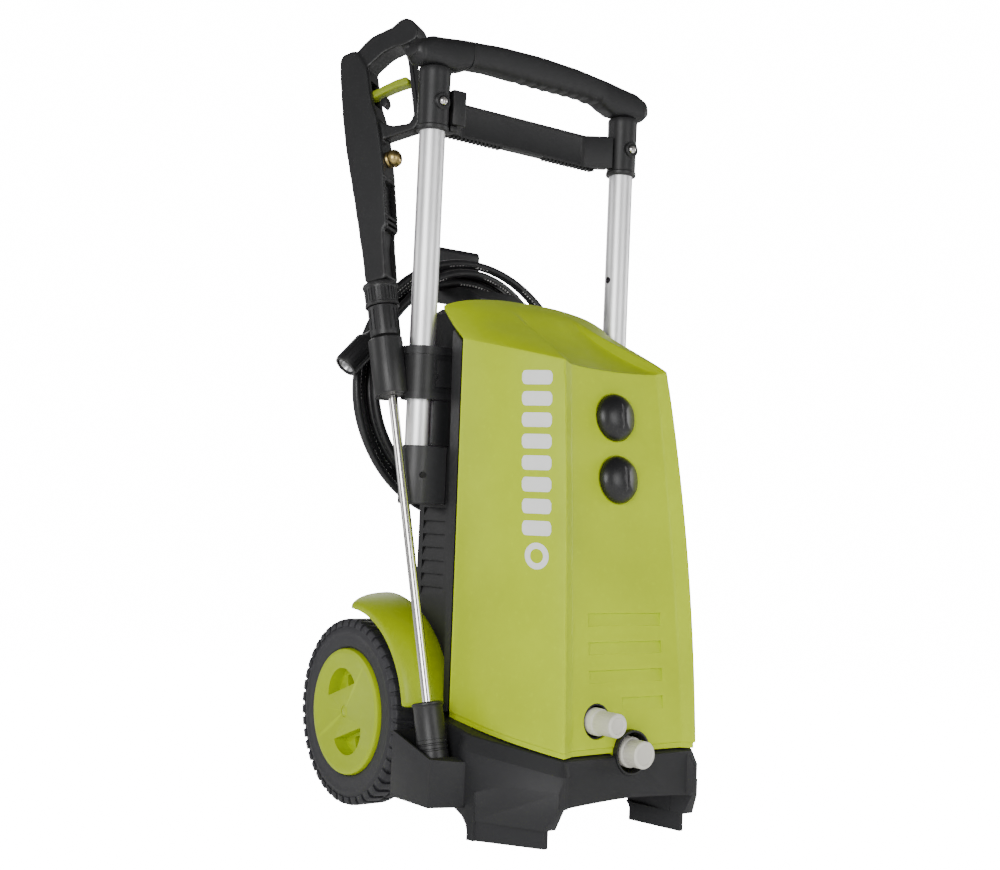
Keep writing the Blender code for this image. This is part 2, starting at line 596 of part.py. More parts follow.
def controls():
    lean = math.atan(0.0467 / 0.404)
    turn = Matrix.Rotation(math.pi / 2 - lean, 4, "X")
    for name, z in (("detergent_knob", PANEL_KNOB_Z[0]), ("power_knob", PANEL_KNOB_Z[1])):
        y = panel_y(z) - 0.0012
        dome = [(0, 0.0150), (0.0100, 0.0145), (0.0180, 0.0122), (0.0240, 0.0080), (KNOB_R, 0.0030),
                (KNOB_R, 0.0006), (0.0060, 0.0006), (0.0060, -0.0060), (0, -0.0060)]
        knob = turned(name, dome, turn, (KNOB_X, y, z), BLACK, 0.4, steps=32)
        rib = box(name + "_rib", (-0.0045, -0.0215, 0.0080), (0.0045, 0.0215, 0.0185))
        rib.matrix_world = Matrix.Translation((KNOB_X, y, z)) @ turn
        boolean(knob, rib, "UNION")
    box("power_switch", (-0.026, -0.1093, 0.3600), (0.022, -0.0740, 0.4020), BLACK, 0.5)
    box("detergent_valve", (-0.020, -0.1004, 0.4360), (0.016, -0.0740, 0.4660), WHITE, 0.5)
    back = 0.060
    fittings = (("outlet", OUTLET, OUTLET_CAP_END, 0.0125), ("inlet", INLET, INLET_CAP_END, 0.0145))
    for word, (x, z), front, radius in fittings:
        place = (x, 0, z)
        stem = [(0, -front - 0.006), (radius - 0.0045, -front - 0.006), (radius - 0.0045, 0.136),
                (radius + 0.002, 0.136), (radius + 0.002, 0.130), (0.0095, 0.130),
                (0.0095, back), (0, back)]
        turned(word + "_fitting", stem, TO_FRONT, place, BRASS, 0.35, 1.0, steps=24)
        cap = [(0, -front), (radius - 0.0015, -front), (radius, -front - 0.0015), (radius, 0.1500),
               (radius + 0.0018, 0.1495), (radius + 0.0018, 0.1400), (radius - 0.0042, 0.1400),
               (radius - 0.0042, -front - 0.0055), (0, -front - 0.0055)]
        turned(word + "_cap", cap, TO_FRONT, place, WHITE, 0.45, steps=28)


# ---- inside ---------------------------------------------------------------
def machinery():
    turned("motor_case", ring_profile(0.060, 0.034, 0.4600, 0.3100, 0.003), FLAT, (0, 0, 0),
           STEEL, 0.5, 0.6, closed=True)
    rotor = [(0, 0.5000), (0.0100, 0.5000), (0.0100, 0.4840), (0.0540, 0.4840), (0.0540, 0.4660),
             (0.0100, 0.4660), (0.0100, 0.4450), (0.0325, 0.4450), (0.0325, 0.3250),
             (0.0070, 0.3250), (0.0070, 0.2800), (0, 0.2800)]
    turned("motor_rotor", rotor, FLAT, (0, 0, 0), STEEL, 0.4, 0.8, steps=28)
    plate = sloping_prism("wobble_plate", arc(0, 0, 0.031, 0, 345, 23), 0.2680, lambda y: 0.2760 + y * 0.10,
                          STEEL, 0.3, 0.9)
    smooth(plate)
    turned("pump_body", ring_profile(0.0450, 0.0360, 0.3100 - GAP, 0.2060, 0.002), FLAT, (0, 0, 0),
           ALUMINIUM, 0.5, 0.8, closed=True, steps=28)
    head = turned("pump_head", disc_profile(0.0450, 0.2060 - GAP, 0.1500, 0.002), FLAT, (0, 0, 0),
                  ALUMINIUM, 0.5, 0.8, steps=28)
    for i in range(3):
        angle = math.radians(90 + 120 * i)
        x, y = 0.021 * math.cos(angle), 0.021 * math.sin(angle)
        bore = rod("piston_bore", 0.0072, 0.165, 0.22, FLAT, (x, y, 0), sides=16)
        boolean(head, bore)
        rod("piston_%d" % (i + 1), 0.0068, 0.1800, 0.2560, FLAT, (x, y, 0), STEEL, 0.2, 0.9, sides=16)
    box("pump_cradle", (-0.060, -0.048, HOUSING_FOOT_Z), (0.060, 0.048, 0.1500 - GAP), BLACK, 0.6)
    box("detergent_tank", (-0.090, 0.0660, 0.2150), (0.090, 0.0955, 0.3600), WHITE, 0.5)


def rear_details():
    top = COIL_Z + math.sqrt(COIL_BORE_R ** 2 - 0.037 ** 2) - GAP
    hook = [(0.1003, 0.5000), (0.1003, 0.6000), (0.1400, top), (0.2070, top), (0.2070, 0.6740),
            (0.2120, 0.6790), (0.2160, 0.6740), (0.2160, top - 0.0120), (0.1080, 0.5890), (0.1080, 0.5000)]
    outline("hose_hook", [hook], 0.072, SIDE, COIL_X, BLACK, 0.6)
    gland = [(0, 0.1190), (0.0090, 0.1190), (0.0125, 0.1120), (0.0150, 0.1090),
             (0.0150, HOUSING_BACK + GAP), (0.0100, HOUSING_BACK + GAP), (0.0100, 0.0920), (0, 0.0920)]
    turned("cord_gland", gland, TO_REAR, (0.085, 0, 0.160), SOFT_BLACK, 0.7, steps=20)
    cap = [(0, 0.1085), (0.0150, 0.1085), (0.0170, 0.1065), (0.0170, 0.0958), (0, 0.0958)]
    turned("detergent_cap", cap, TO_REAR, (0.0, 0, 0.3000), BLACK, 0.5, steps=28)


def hose():
    """The coil as one plain ring, with its two free ends and their couplings."""
    ring = ring_profile(COIL_R, COIL_BORE_R, COIL_BACK, COIL_FRONT, 0.004)
    turned("hose_coil", ring, TO_REAR, (COIL_X, 0, COIL_Z), SOFT_BLACK, 0.6, closed=True, steps=40)
    ends = (("gun", Vector((-0.1065, 0.1480, 0.5980)), Vector((-0.1500, 0.1480, 0.5515))),
            ("pump", Vector((0.0900, 0.1480, 0.3700)), Vector((0.0480, 0.1480, 0.3440))))
    for word, start, joint in ends:
        away = (joint - start).normalized()
        turn = away.to_track_quat("Z", "Y").to_matrix().to_4x4()
        reach = (joint - start).length
        rod("hose_%s_end" % word, HOSE_D / 2, 0.0, reach - GAP, turn, start, SOFT_BLACK, 0.6, sides=16)
        shape = [(0.0100, 0.0660), (0.0148, 0.0640), (0.0148, 0.0240), (0.0105, 0.0180), (0.0085, 0.0),
                 (0, 0),
                 (0, 0.0240), (0.0100, 0.0240)]
        turned("hose_%s_coupling" % word, shape, turn, joint, BLACK, 0.5, steps=24, closed=True)


front_shell()
base_tray()
rear_housing()
fender(-1)
fender(1)
wheels()
handle()
tube_mounts()
gun()
lance_holder()
controls()
machinery()
rear_details()
hose()

for obj in list(PARTS.objects) + list(CUTTERS.objects):
    obj.location -= Vector((*MIDDLE, 0))
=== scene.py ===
"""The looks of the upright pressure washer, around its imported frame."""
import math

import bmesh
import bpy
from mathutils import Matrix, Vector
from mathutils.bvhtree import BVHTree


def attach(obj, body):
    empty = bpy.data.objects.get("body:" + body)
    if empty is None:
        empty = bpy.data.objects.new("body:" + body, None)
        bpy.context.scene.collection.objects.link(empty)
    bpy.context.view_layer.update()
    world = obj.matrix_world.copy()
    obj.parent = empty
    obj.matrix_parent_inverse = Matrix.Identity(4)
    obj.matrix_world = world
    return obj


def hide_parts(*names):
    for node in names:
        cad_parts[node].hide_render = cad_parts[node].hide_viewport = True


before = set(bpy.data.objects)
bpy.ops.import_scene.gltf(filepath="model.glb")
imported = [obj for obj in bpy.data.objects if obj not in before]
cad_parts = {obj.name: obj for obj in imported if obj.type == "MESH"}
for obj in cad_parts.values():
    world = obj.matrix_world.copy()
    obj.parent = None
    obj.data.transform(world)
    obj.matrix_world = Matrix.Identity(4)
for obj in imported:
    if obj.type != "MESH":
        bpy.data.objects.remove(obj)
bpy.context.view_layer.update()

# The shapes are drawn with x = 0 in the casing's middle and y = 0 at the
# joint of its two halves. This is where that point lies in the frame.
MIDDLE = Vector((0.0102, -0.0377, 0.0))

TUBE_X, TUBE_Y, TUBE_R = 0.1447, 0.064, 0.015
SLEEVE_LOW, SLEEVE_HIGH = 0.7737, 0.8467
AXLE = Vector((0.0, 0.147, 0.1063))
HUB_R = 0.0720
HUB_FACE = 0.1745
FOOT = Vector((-0.1630, -0.0214, 0.0804))
LEAN = Matrix.Rotation(-math.radians(1.65), 4, "Y") @ Matrix.Rotation(-math.radians(14.0), 4, "X")
GUN = LEAN @ Matrix.Rotation(math.radians(30), 4, "Z")
PANEL_LEAN = math.atan(0.0467 / 0.404)
KNOB_X, KNOB_R = -0.002, 0.0260
LIP = 0.0017
COIL = Vector((-0.003, 0.184, 0.4935))
HOSE_D = 0.0105

FLOOR_GLOW, ROOM_LIGHT, PAPER_WHITE = 0.45, 0.34, 16.0
LAMPS = (("key", (-2.3, -1.5, 0.9), 1.3, 44.0), ("front", (0.3, -2.6, 0.8), 1.2, 18.0),
         ("right", (2.4, -0.9, 0.9), 1.0, 12.0), ("rear", (0.8, 2.4, 1.6), 1.4, 14.0),
         ("left_rear", (-2.2, 1.6, 1.0), 1.2, 10.0))

# an outline's plane: (a, b) of the drawing and its thickness onto x, y, z
FLAT = Matrix.Identity(4)
SIDE = Matrix(((0, 0, 1, 0), (1, 0, 0, 0), (0, 1, 0, 0), (0, 0, 0, 1)))
FACE = Matrix(((1, 0, 0, 0), (0, 0, -1, 0), (0, 1, 0, 0), (0, 0, 0, 1)))
TO_FRONT = Matrix.Rotation(math.pi / 2, 4, "X")
TO_REAR = Matrix.Rotation(-math.pi / 2, 4, "X")

PIECES = bpy.data.collections.new("looks")
TOOLS = bpy.data.collections.new("cutting_tools")
bpy.context.scene.collection.children.link(PIECES)
bpy.context.scene.collection.children.link(TOOLS)


# ---- materials ------------------------------------------------------------
class Nodes:
    """A short way to write a material's node tree."""

    def __init__(self, name):
        self.mat = bpy.data.materials.new(name)
        self.mat.use_nodes = True
        self.tree = self.mat.node_tree
        self.shader = self.tree.nodes["Principled BSDF"]
        self.coord = self.add("ShaderNodeTexCoord").outputs["Object"]

    def add(self, kind, **settings):
        node = self.tree.nodes.new(kind)
        for key, value in settings.items():
            setattr(node, key, value)
        return node

    def link(self, out, into):
        self.tree.links.new(out, into)

    def noise(self, scale, detail=3.0, stretch=None, rough=0.5):
        node = self.add("ShaderNodeTexNoise")
        node.inputs["Scale"].default_value = scale
        node.inputs["Detail"].default_value = detail
        node.inputs["Roughness"].default_value = rough
        source = self.coord
        if stretch:
            mapping = self.add("ShaderNodeMapping")
            mapping.inputs["Scale"].default_value = stretch
            self.link(self.coord, mapping.inputs["Vector"])
            source = mapping.outputs["Vector"]
        self.link(source, node.inputs["Vector"])
        return node.outputs["Fac"]

    def spread(self, value, low, high, at=(0.0, 1.0)):
        node = self.add("ShaderNodeMapRange")
        for key, number in zip(("From Min", "From Max", "To Min", "To Max"), (*at, low, high)):
            node.inputs[key].default_value = number
        self.link(value, node.inputs["Value"])
        return node.outputs["Result"]

    def mix(self, fac, first, second):
        node = self.add("ShaderNodeMix", data_type="RGBA")
        self.link(fac, node.inputs["Factor"])
        for index, value in ((6, first), (7, second)):
            if isinstance(value, tuple):
                node.inputs[index].default_value = (*value, 1)
            else:
                self.link(value, node.inputs[index])
        return node.outputs[2]

    def bump(self, height, strength, distance):
        node = self.add("ShaderNodeBump")
        node.inputs["Strength"].default_value = strength
        node.inputs["Distance"].default_value = distance
        if self.shader.inputs["Normal"].is_linked:
            self.link(self.shader.inputs["Normal"].links[0].from_socket, node.inputs["Normal"])
        self.link(height, node.inputs["Height"])
        self.link(node.outputs["Normal"], self.shader.inputs["Normal"])


def shade(colour, factor):
    return tuple(min(1.0, c * factor) for c in colour)


def plastic(name, colour, rough, grain=2200.0, depth=0.00004, shine=0.5):
    """Moulded plastic: fine texture, faint flow marks, and rubbed edges."""
    n = Nodes(name)
    cloud = n.spread(n.noise(9.0, 4.0), 0.0, 1.0, at=(0.35, 0.65))
    tone = n.mix(cloud, shade(colour, 0.93), shade(colour, 1.06))
    dust = n.spread(n.noise(160.0, 5.0), 0.0, 0.35, at=(0.58, 0.78))
    tone = n.mix(dust, tone, shade(colour, 1.22))
    edge = n.add("ShaderNodeNewGeometry").outputs["Pointiness"]
    worn = n.spread(edge, 0.0, 0.5, at=(0.53, 0.60))
    n.link(n.mix(worn, tone, shade(colour, 1.35)), n.shader.inputs["Base Color"])
    n.link(n.spread(n.noise(55.0, 4.0), rough - 0.05, rough + 0.06), n.shader.inputs["Roughness"])
    n.bump(n.noise(grain, 2.0), 0.5, depth)
    n.bump(n.noise(26.0, 2.0), 0.10, 0.0004)
    n.shader.inputs["Specular IOR Level"].default_value = shine
    return n.mat


def metal(name, colour, rough, stretch, depth=0.00001, scale=900.0):
    """Bare metal with the fine lines of drawing, turning or polishing."""
    n = Nodes(name)
    lines = n.noise(scale, 3.0, stretch=stretch)
    patch = n.spread(n.noise(14.0, 3.0), 0.0, 1.0, at=(0.35, 0.65))
    n.link(n.mix(patch, shade(colour, 0.94), shade(colour, 1.03)), n.shader.inputs["Base Color"])
    n.link(n.spread(lines, rough - 0.05, rough + 0.07), n.shader.inputs["Roughness"])
    n.shader.inputs["Metallic"].default_value = 1.0
    n.bump(lines, 0.35, depth)
    return n.mat


def hose_rubber(name):
    """Smooth black hose with a broken pale line printed along it."""
    n = Nodes(name)
    uv = n.add("ShaderNodeTexCoord").outputs["UV"]
    split = n.add("ShaderNodeSeparateXYZ")
    n.link(uv, split.inputs["Vector"])

    def maths(operation, first, second):
        node = n.add("ShaderNodeMath", operation=operation)
        for socket, value in zip(node.inputs, (first, second)):
            if isinstance(value, float):
                socket.default_value = value
            else:
                n.link(value, socket)
        return node.outputs["Value"]

    dash = maths("GREATER_THAN", maths("FRACT", maths("MULTIPLY", split.outputs["X"], 210.0), 0.0), 0.48)
    group = maths("GREATER_THAN", maths("FRACT", maths("MULTIPLY", split.outputs["X"], 8.3), 0.0), 0.50)
    band = maths("LESS_THAN", maths("ABSOLUTE", maths("SUBTRACT", split.outputs["Y"], 0.62), 0.0), 0.030)
    worn = n.spread(n.noise(700.0, 3.0), 0.0, 1.0, at=(0.42, 0.50))
    mark = maths("MULTIPLY", maths("MULTIPLY", dash, group), maths("MULTIPLY", band, worn))
    cloud = n.spread(n.noise(60.0, 4.0), 0.0, 1.0, at=(0.35, 0.65))
    black = n.mix(cloud, (0.010, 0.010, 0.011), (0.017, 0.017, 0.018))
    n.link(n.mix(mark, black, (0.62, 0.62, 0.60)), n.shader.inputs["Base Color"])
    n.link(n.spread(n.noise(180.0, 3.0), 0.30, 0.42), n.shader.inputs["Roughness"])
    n.bump(n.noise(1500.0, 2.0), 0.3, 0.00003)
    return n.mat


GREEN = (0.500, 0.640, 0.001)
GREEN_SHELL = plastic("green_plastic", GREEN, 0.42, 2600.0, 0.00002, 0.28)
GREEN_PART = plastic("green_part", (0.400, 0.520, 0.001), 0.40, 2600.0, 0.00002, 0.30)
GREEN_TRIGGER = plastic("green_trigger", (0.330, 0.420, 0.020), 0.40, 2400.0, 0.00003)
CASE_BLACK = plastic("casing_plastic", (0.013, 0.013, 0.014), 0.42, 1800.0, 0.00006, 0.45)
BASE_GREY = plastic("base_plastic", (0.019, 0.019, 0.021), 0.50, 1500.0, 0.00008, 0.32)
GUN_BLACK = plastic("gun_plastic", (0.015, 0.015, 0.016), 0.40, 2000.0, 0.00005)
DEEP_BLACK = plastic("dark_plastic", (0.010, 0.010, 0.011), 0.50)
# Painted highlight: the tube sockets get a lighter grey than the casing black, standing for the highlight
# on their left side.
SOCKET_HIGHLIGHT_GREY = plastic("socket_plastic", (0.040, 0.040, 0.042), 0.40, 1800.0, 0.00006, 0.45)
KNOB_BLACK = plastic("knob_plastic", (0.010, 0.010, 0.011), 0.34, 3000.0, 0.00001)
GRIP_RUBBER = plastic("grip_rubber", (0.012, 0.012, 0.013), 0.56, 1300.0, 0.00010)
TYRE_RUBBER = plastic("tyre_plastic", (0.018, 0.018, 0.022), 0.52, 1100.0, 0.00010)
CAP_WHITE = plastic("cap_plastic", (0.74, 0.72, 0.64), 0.42, 2600.0, 0.00002)
MARK_WHITE = plastic("print_white", (0.93, 0.94, 0.92), 0.45, 2600.0, 0.00001)
TANK_WHITE = plastic("tank_plastic", (0.70, 0.70, 0.66), 0.50)
HOSE_BLACK = hose_rubber("hose_rubber")
ALUMINIUM = metal("satin_aluminium", (0.92, 0.92, 0.93), 0.42, (1.0, 1.0, 0.02), 0.000003)
CHROME = metal("chrome", (0.84, 0.82, 0.80), 0.10, (1.0, 1.0, 0.03), 0.000004)
STEEL = metal("steel", (0.56, 0.56, 0.57), 0.30, (1.0, 1.0, 1.0))
BRASS = metal("brass", (0.48, 0.36, 0.14), 0.30, (1.0, 1.0, 1.0))
CAST = metal("cast_aluminium", (0.62, 0.62, 0.63), 0.48, (1.0, 1.0, 1.0), 0.0002, 400.0)


# ---- making pieces --------------------------------------------------------
def link(name, mesh, material=None, matrix=FLAT):
    obj = bpy.data.objects.new(name, mesh)
    if material is None:
        TOOLS.objects.link(obj)
        obj.hide_render = True
        obj.hide_viewport = True
        obj.display_type = "WIRE"
    else:
        PIECES.objects.link(obj)
        mesh.materials.append(material)
    obj.matrix_world = Matrix.Translation(MIDDLE) @ matrix
    return obj


def from_bmesh(name, build):
    mesh = bpy.data.meshes.new(name)
    bm = bmesh.new()
    build(bm)
    bmesh.ops.recalc_face_normals(bm, faces=bm.faces)
    bm.to_mesh(mesh)
    bm.free()
    return mesh


def loft(name, rings, material=None, matrix=FLAT, caps=True):
    """A closed skin through rings that have the same number of points."""

    def build(bm):
        grid = [[bm.verts.new(p) for p in ring] for ring in rings]
        for low, high in zip(grid, grid[1:]):
            for i in range(len(low)):
                j = (i + 1) % len(low)
                bm.faces.new((low[i], low[j], high[j], high[i]))
        if caps:
            bm.faces.new(grid[0])
            bm.faces.new(grid[-1])

    return link(name, from_bmesh(name, build), material, matrix)


def prism(name, loop, thickness, plane, offset, material=None, matrix=FLAT):
    """A flat outline with thickness, centred at offset across its plane."""
    turn = matrix @ plane
    rings = [[(a, b, offset + s * thickness / 2) for a, b in loop] for s in (-1, 1)]
    return loft(name, rings, material, turn)


def block(name, low, high, material=None, matrix=FLAT):
    loop = [(low[0], low[1]), (high[0], low[1]), (high[0], high[1]), (low[0], high[1])]
    rings = [[(x, y, z) for x, y in loop] for z in (low[2], high[2])]
    return loft(name, rings, material, matrix)


def lathe(name, profile, material=None, matrix=FLAT, steps=64):
    """A closed turned piece. The profile is (radius, height), open at the axis."""

    def build(bm):
        columns = []
        for i in range(steps):
            a = 2 * math.pi * i / steps
            columns.append([bm.verts.new((r * math.cos(a), r * math.sin(a), h)) for r, h in profile])
        for i in range(steps):
            this, after = columns[i], columns[(i + 1) % steps]
            for k in range(len(profile)):
                m = (k + 1) % len(profile)
                if profile[k][0] < 1e-7 and profile[m][0] < 1e-7:
                    continue
                bm.faces.new((this[k], after[k], after[m], this[m]))
        bmesh.ops.remove_doubles(bm, verts=bm.verts, dist=1e-6)
        bmesh.ops.dissolve_degenerate(bm, edges=bm.edges, dist=1e-7)

    return link(name, from_bmesh(name, build), material, matrix)


def rod(name, radius, low, high, material=None, matrix=FLAT, steps=48):
    profile = [(0, high), (radius, high), (radius, low), (0, low)]
    return lathe(name, profile, material, matrix, steps)


def arc(cx, cy, radius, start, end, steps):
    angles = [math.radians(start + (end - start) * i / steps) for i in range(steps + 1)]
    return [(cx + radius * math.cos(a), cy + radius * math.sin(a)) for a in angles]


def filleted(points, radius, steps=4):
    """The same outline with its corners rounded. Radius may be one per corner."""
    out = []
    count = len(points)
    radii = radius if isinstance(radius, (list, tuple)) else [radius] * count
    for i in range(count):
        here = Vector(points[i])
        before = Vector(points[i - 1]) - here
        after = Vector(points[(i + 1) % count]) - here
        cut = min(radii[i], before.length * 0.45, after.length * 0.45)
        start, end = here + before.normalized() * cut, here + after.normalized() * cut
        for k in range(steps + 1):
            t = k / steps
            out.append(tuple(start * (1 - t) ** 2 + here * 2 * t * (1 - t) + end * t ** 2))
    return out


def rounded_box(a0, b0, a1, b1, radius, steps=5):
    return filleted([(a0, b0), (a1, b0), (a1, b1), (a0, b1)], radius, steps)


def bevel(obj, width, segments=3, angle=32):
    mod = obj.modifiers.new("bevel", "BEVEL")
    mod.width = width
    mod.segments = segments
    mod.limit_method = "ANGLE"
    mod.angle_limit = math.radians(angle)
    mod.use_clamp_overlap = True
    mod.harden_normals = False
    return obj


def cut(obj, *tools, operation="DIFFERENCE"):
    for tool in tools:
        mod = obj.modifiers.new(tool.name, "BOOLEAN")
        mod.operation = operation
        mod.solver = "EXACT"
        mod.object = tool
    return obj


def bake(obj, angle=32):
    """Applies the modifiers and shades smooth, keeping real edges sharp."""
    bpy.context.view_layer.update()
    graph = bpy.context.evaluated_depsgraph_get()
    mesh = bpy.data.meshes.new_from_object(obj.evaluated_get(graph), depsgraph=graph)
    obj.modifiers.clear()
    obj.data = mesh
    mesh.shade_smooth()
    mesh.set_sharp_from_angle(angle=math.radians(angle))
    return obj


def done(obj, body, *nodes, angle=32):
    """Finishes a piece: it rides on a body and stands for its CAD nodes."""
    bake(obj, angle)
    obj.data.transform(Matrix.Translation(-MIDDLE) @ obj.matrix_world)
    obj.matrix_world = Matrix.Translation(MIDDLE)
    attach(obj, body)
    if nodes:
        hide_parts(*nodes)
    return obj


def tube_along(name, points, radius, material, sides=12):
    """A round tube with flat ends along points, with its length in U."""
    mesh = bpy.data.meshes.new(name)
    bm = bmesh.new()
    layer = bm.loops.layers.uv.new("along")
    side = Vector((0, 1, 0))
    rings = []
    total = 0.0
    lengths = []
    for i, point in enumerate(points):
        ahead = points[min(i + 1, len(points) - 1)]
        behind = points[max(i - 1, 0)]
        way = (ahead - behind).normalized()
        side = (side - way * side.dot(way)).normalized()
        up = way.cross(side)
        ring = [bm.verts.new(point + (side * math.cos(2 * math.pi * k / sides)
                                      + up * math.sin(2 * math.pi * k / sides)) * radius)
                for k in range(sides)]
        rings.append(ring)
        if i:
            total += (point - points[i - 1]).length
        lengths.append(total)
    for i in range(len(rings) - 1):
        for k in range(sides):
            j = (k + 1) % sides
            face = bm.faces.new((rings[i][k], rings[i][j], rings[i + 1][j], rings[i + 1][k]))
            corners = ((i, k), (i, k + 1), (i + 1, k + 1), (i + 1, k))
            for loop, (a, b) in zip(face.loops, corners):
                loop[layer].uv = (lengths[a], b / sides)
    bm.faces.new(rings[0])
    bm.faces.new(rings[-1])
    bmesh.ops.recalc_face_normals(bm, faces=bm.faces)
    bm.to_mesh(mesh)
    bm.free()
    return link(name, mesh, material)


# ---- camera, floor and light ----------------------------------------------
def camera():
    turn, pitch, roll = (math.radians(a) for a in (36.962, 3.345, -2.473))
    ahead = Vector((math.sin(turn) * math.cos(pitch), math.cos(turn) * math.cos(pitch), math.sin(pitch)))
    level = Vector((math.cos(turn), -math.sin(turn), 0))
    up = level.cross(ahead)
    right = level * math.cos(roll) - up * math.sin(roll)
    top = level * math.sin(roll) + up * math.cos(roll)
    data = bpy.data.cameras.new("camera")
    data.sensor_width = 36.0
    data.lens = 50.62
    data.clip_start = 0.01
    obj = bpy.data.objects.new("camera", data)
    bpy.context.scene.collection.objects.link(obj)
    basis = Matrix((right, top, -ahead)).transposed().to_4x4()
    obj.matrix_world = Matrix.Translation(Vector((-1.0256, -1.2604, 0.3370)) + MIDDLE) @ basis
    bpy.context.scene.camera = obj


def studio():
    n = Nodes("paper")
    cloud = n.spread(n.noise(2.0, 2.0), 0.0, 1.0)
    n.link(n.mix(cloud, (0.93, 0.93, 0.93), (0.95, 0.95, 0.95)), n.shader.inputs["Base Color"])
    n.shader.inputs["Roughness"].default_value = 0.9
    n.shader.inputs["Emission Color"].default_value = (1, 1, 1, 1)
    seen = n.add("ShaderNodeLightPath").outputs["Is Camera Ray"]
    n.link(n.spread(seen, FLOOR_GLOW, PAPER_WHITE), n.shader.inputs["Emission Strength"])
    reach = n.add("ShaderNodeVectorMath", operation="LENGTH")
    n.link(n.coord, reach.inputs[0])
    n.link(n.spread(reach.outputs["Value"], 1.0, 0.0, at=(0.5, 2.4)), n.shader.inputs["Alpha"])
    floor = block("floor", (-6, -6, -0.02), (6, 6, -0.0005), n.mat)
    world = bpy.data.worlds.new("studio")
    bpy.context.scene.world = world
    world.use_nodes = True
    tree = world.node_tree
    soft = tree.nodes["Background"]
    height = tree.nodes.new("ShaderNodeSeparateXYZ")
    shade_down = tree.nodes.new("ShaderNodeMapRange")
    for key, number in (("From Min", 0.15), ("From Max", 0.75), ("To Min", 1.25), ("To Max", 0.30)):
        shade_down.inputs[key].default_value = number
    tree.links.new(tree.nodes.new("ShaderNodeTexCoord").outputs["Generated"], height.inputs["Vector"])
    tree.links.new(height.outputs["Z"], shade_down.inputs["Value"])
    tree.links.new(shade_down.outputs["Result"], soft.inputs["Color"])
    soft.inputs["Strength"].default_value = ROOM_LIGHT
    paper = tree.nodes.new("ShaderNodeBackground")
    paper.inputs["Color"].default_value = (1, 1, 1, 1)
    paper.inputs["Strength"].default_value = PAPER_WHITE
    rays = tree.nodes.new("ShaderNodeLightPath")
    mix = tree.nodes.new("ShaderNodeMixShader")
    tree.links.new(rays.outputs["Is Camera Ray"], mix.inputs["Fac"])
    tree.links.new(soft.outputs["Background"], mix.inputs[1])
    tree.links.new(paper.outputs["Background"], mix.inputs[2])
    tree.links.new(mix.outputs["Shader"], tree.nodes["World Output"].inputs["Surface"])
    for name, place, size, power in LAMPS:
        data = bpy.data.lights.new(name, "AREA")
        data.size = size
        data.energy = power
        obj = bpy.data.objects.new(name, data)
        bpy.context.scene.collection.objects.link(obj)
        obj.location = place
        aim = Vector((0, 0, 0.42)) - Vector(place)
        obj.rotation_euler = aim.to_track_quat("-Z", "Y").to_euler()


# ---- hose -----------------------------------------------------------------
HOSE_TURNS = 6
HOSE_LANES = ((0.1470, 0.1480), (0.1365, 0.1700), (0.1365, 0.1818), (0.1365, 0.1936), (0.1482, 0.1936),
              (0.1482, 0.1818), (0.1596, 0.1730), (0.1546, 0.1480))
HOSE_GUN_JOINT = Vector((-0.1500, 0.1480, 0.5515))
HOSE_GUN_START = Vector((-0.1065, 0.1480, 0.5980))
HOSE_PUMP_JOINT = Vector((0.0480, 0.1480, 0.3440))
HOSE_PUMP_START = Vector((0.0900, 0.1480, 0.3700))


def smooth_path(points, step):
    """Points at an even step along a smooth curve through the given ones."""
    out = []
    count = len(points)
    for i in range(count - 1):
        p0 = points[max(i - 1, 0)]
        p1, p2 = points[i], points[i + 1]
        p3 = points[min(i + 2, count - 1)]
        pieces = max(2, int((p2 - p1).length / step))
        for k in range(pieces):
            t = k / pieces
            a = p1 * 2 + (p2 - p0) * t + (p0 * 2 - p1 * 5 + p2 * 4 - p3) * t ** 2
            out.append((a + (p1 * 3 - p0 - p2 * 3 + p3) * t ** 3) * 0.5)
    out.append(points[-1])
    return out


def hose():
    """One long hose: in from the gun's coupling, round the coil, out again."""
    start_angle, end_angle = math.radians(134.7), math.radians(-53.1)
    sweep = 2 * math.pi * HOSE_TURNS + (start_angle - end_angle)
    turns = sweep / (2 * math.pi)
    moves = [(0.02, 0.30)] + [(k - 0.16, k + 0.16) for k in range(1, 6)] + [(turns - 0.40, turns - 0.01)]
    coil = []
    steps = int(26 * turns)
    for i in range(steps + 1):
        turn = turns * i / steps
        angle = start_angle - 2 * math.pi * turn
        radius, depth = HOSE_LANES[0]
        for (begin, end), (r, d) in zip(moves, HOSE_LANES[1:]):
            ease = min(1.0, max(0.0, (turn - begin) / (end - begin)))
            ease = ease * ease * (3 - 2 * ease)
            radius, depth = radius + (r - radius) * ease, depth + (d - depth) * ease
        coil.append(Vector((COIL.x + radius * math.cos(angle), depth, COIL.z + radius * math.sin(angle))))
    lead = (HOSE_GUN_START - HOSE_GUN_JOINT) / 8
    tail = (HOSE_PUMP_JOINT - HOSE_PUMP_START) / 6
    first = [HOSE_GUN_JOINT + lead * k for k in range(8)]
    last = [HOSE_PUMP_START + tail * k for k in range(1, 7)]
    route = smooth_path(first + coil + last, 0.007)
    obj = tube_along("hose", route, HOSE_D / 2, HOSE_BLACK)
    for word, joint, start in (("gun", HOSE_GUN_JOINT, HOSE_GUN_START),
                               ("pump", HOSE_PUMP_JOINT, HOSE_PUMP_START)):
        coupling(word, joint, (joint - start).normalized())
    done(obj, "machine", "hose_coil", "hose_gun_end", "hose_pump_end", angle=60)


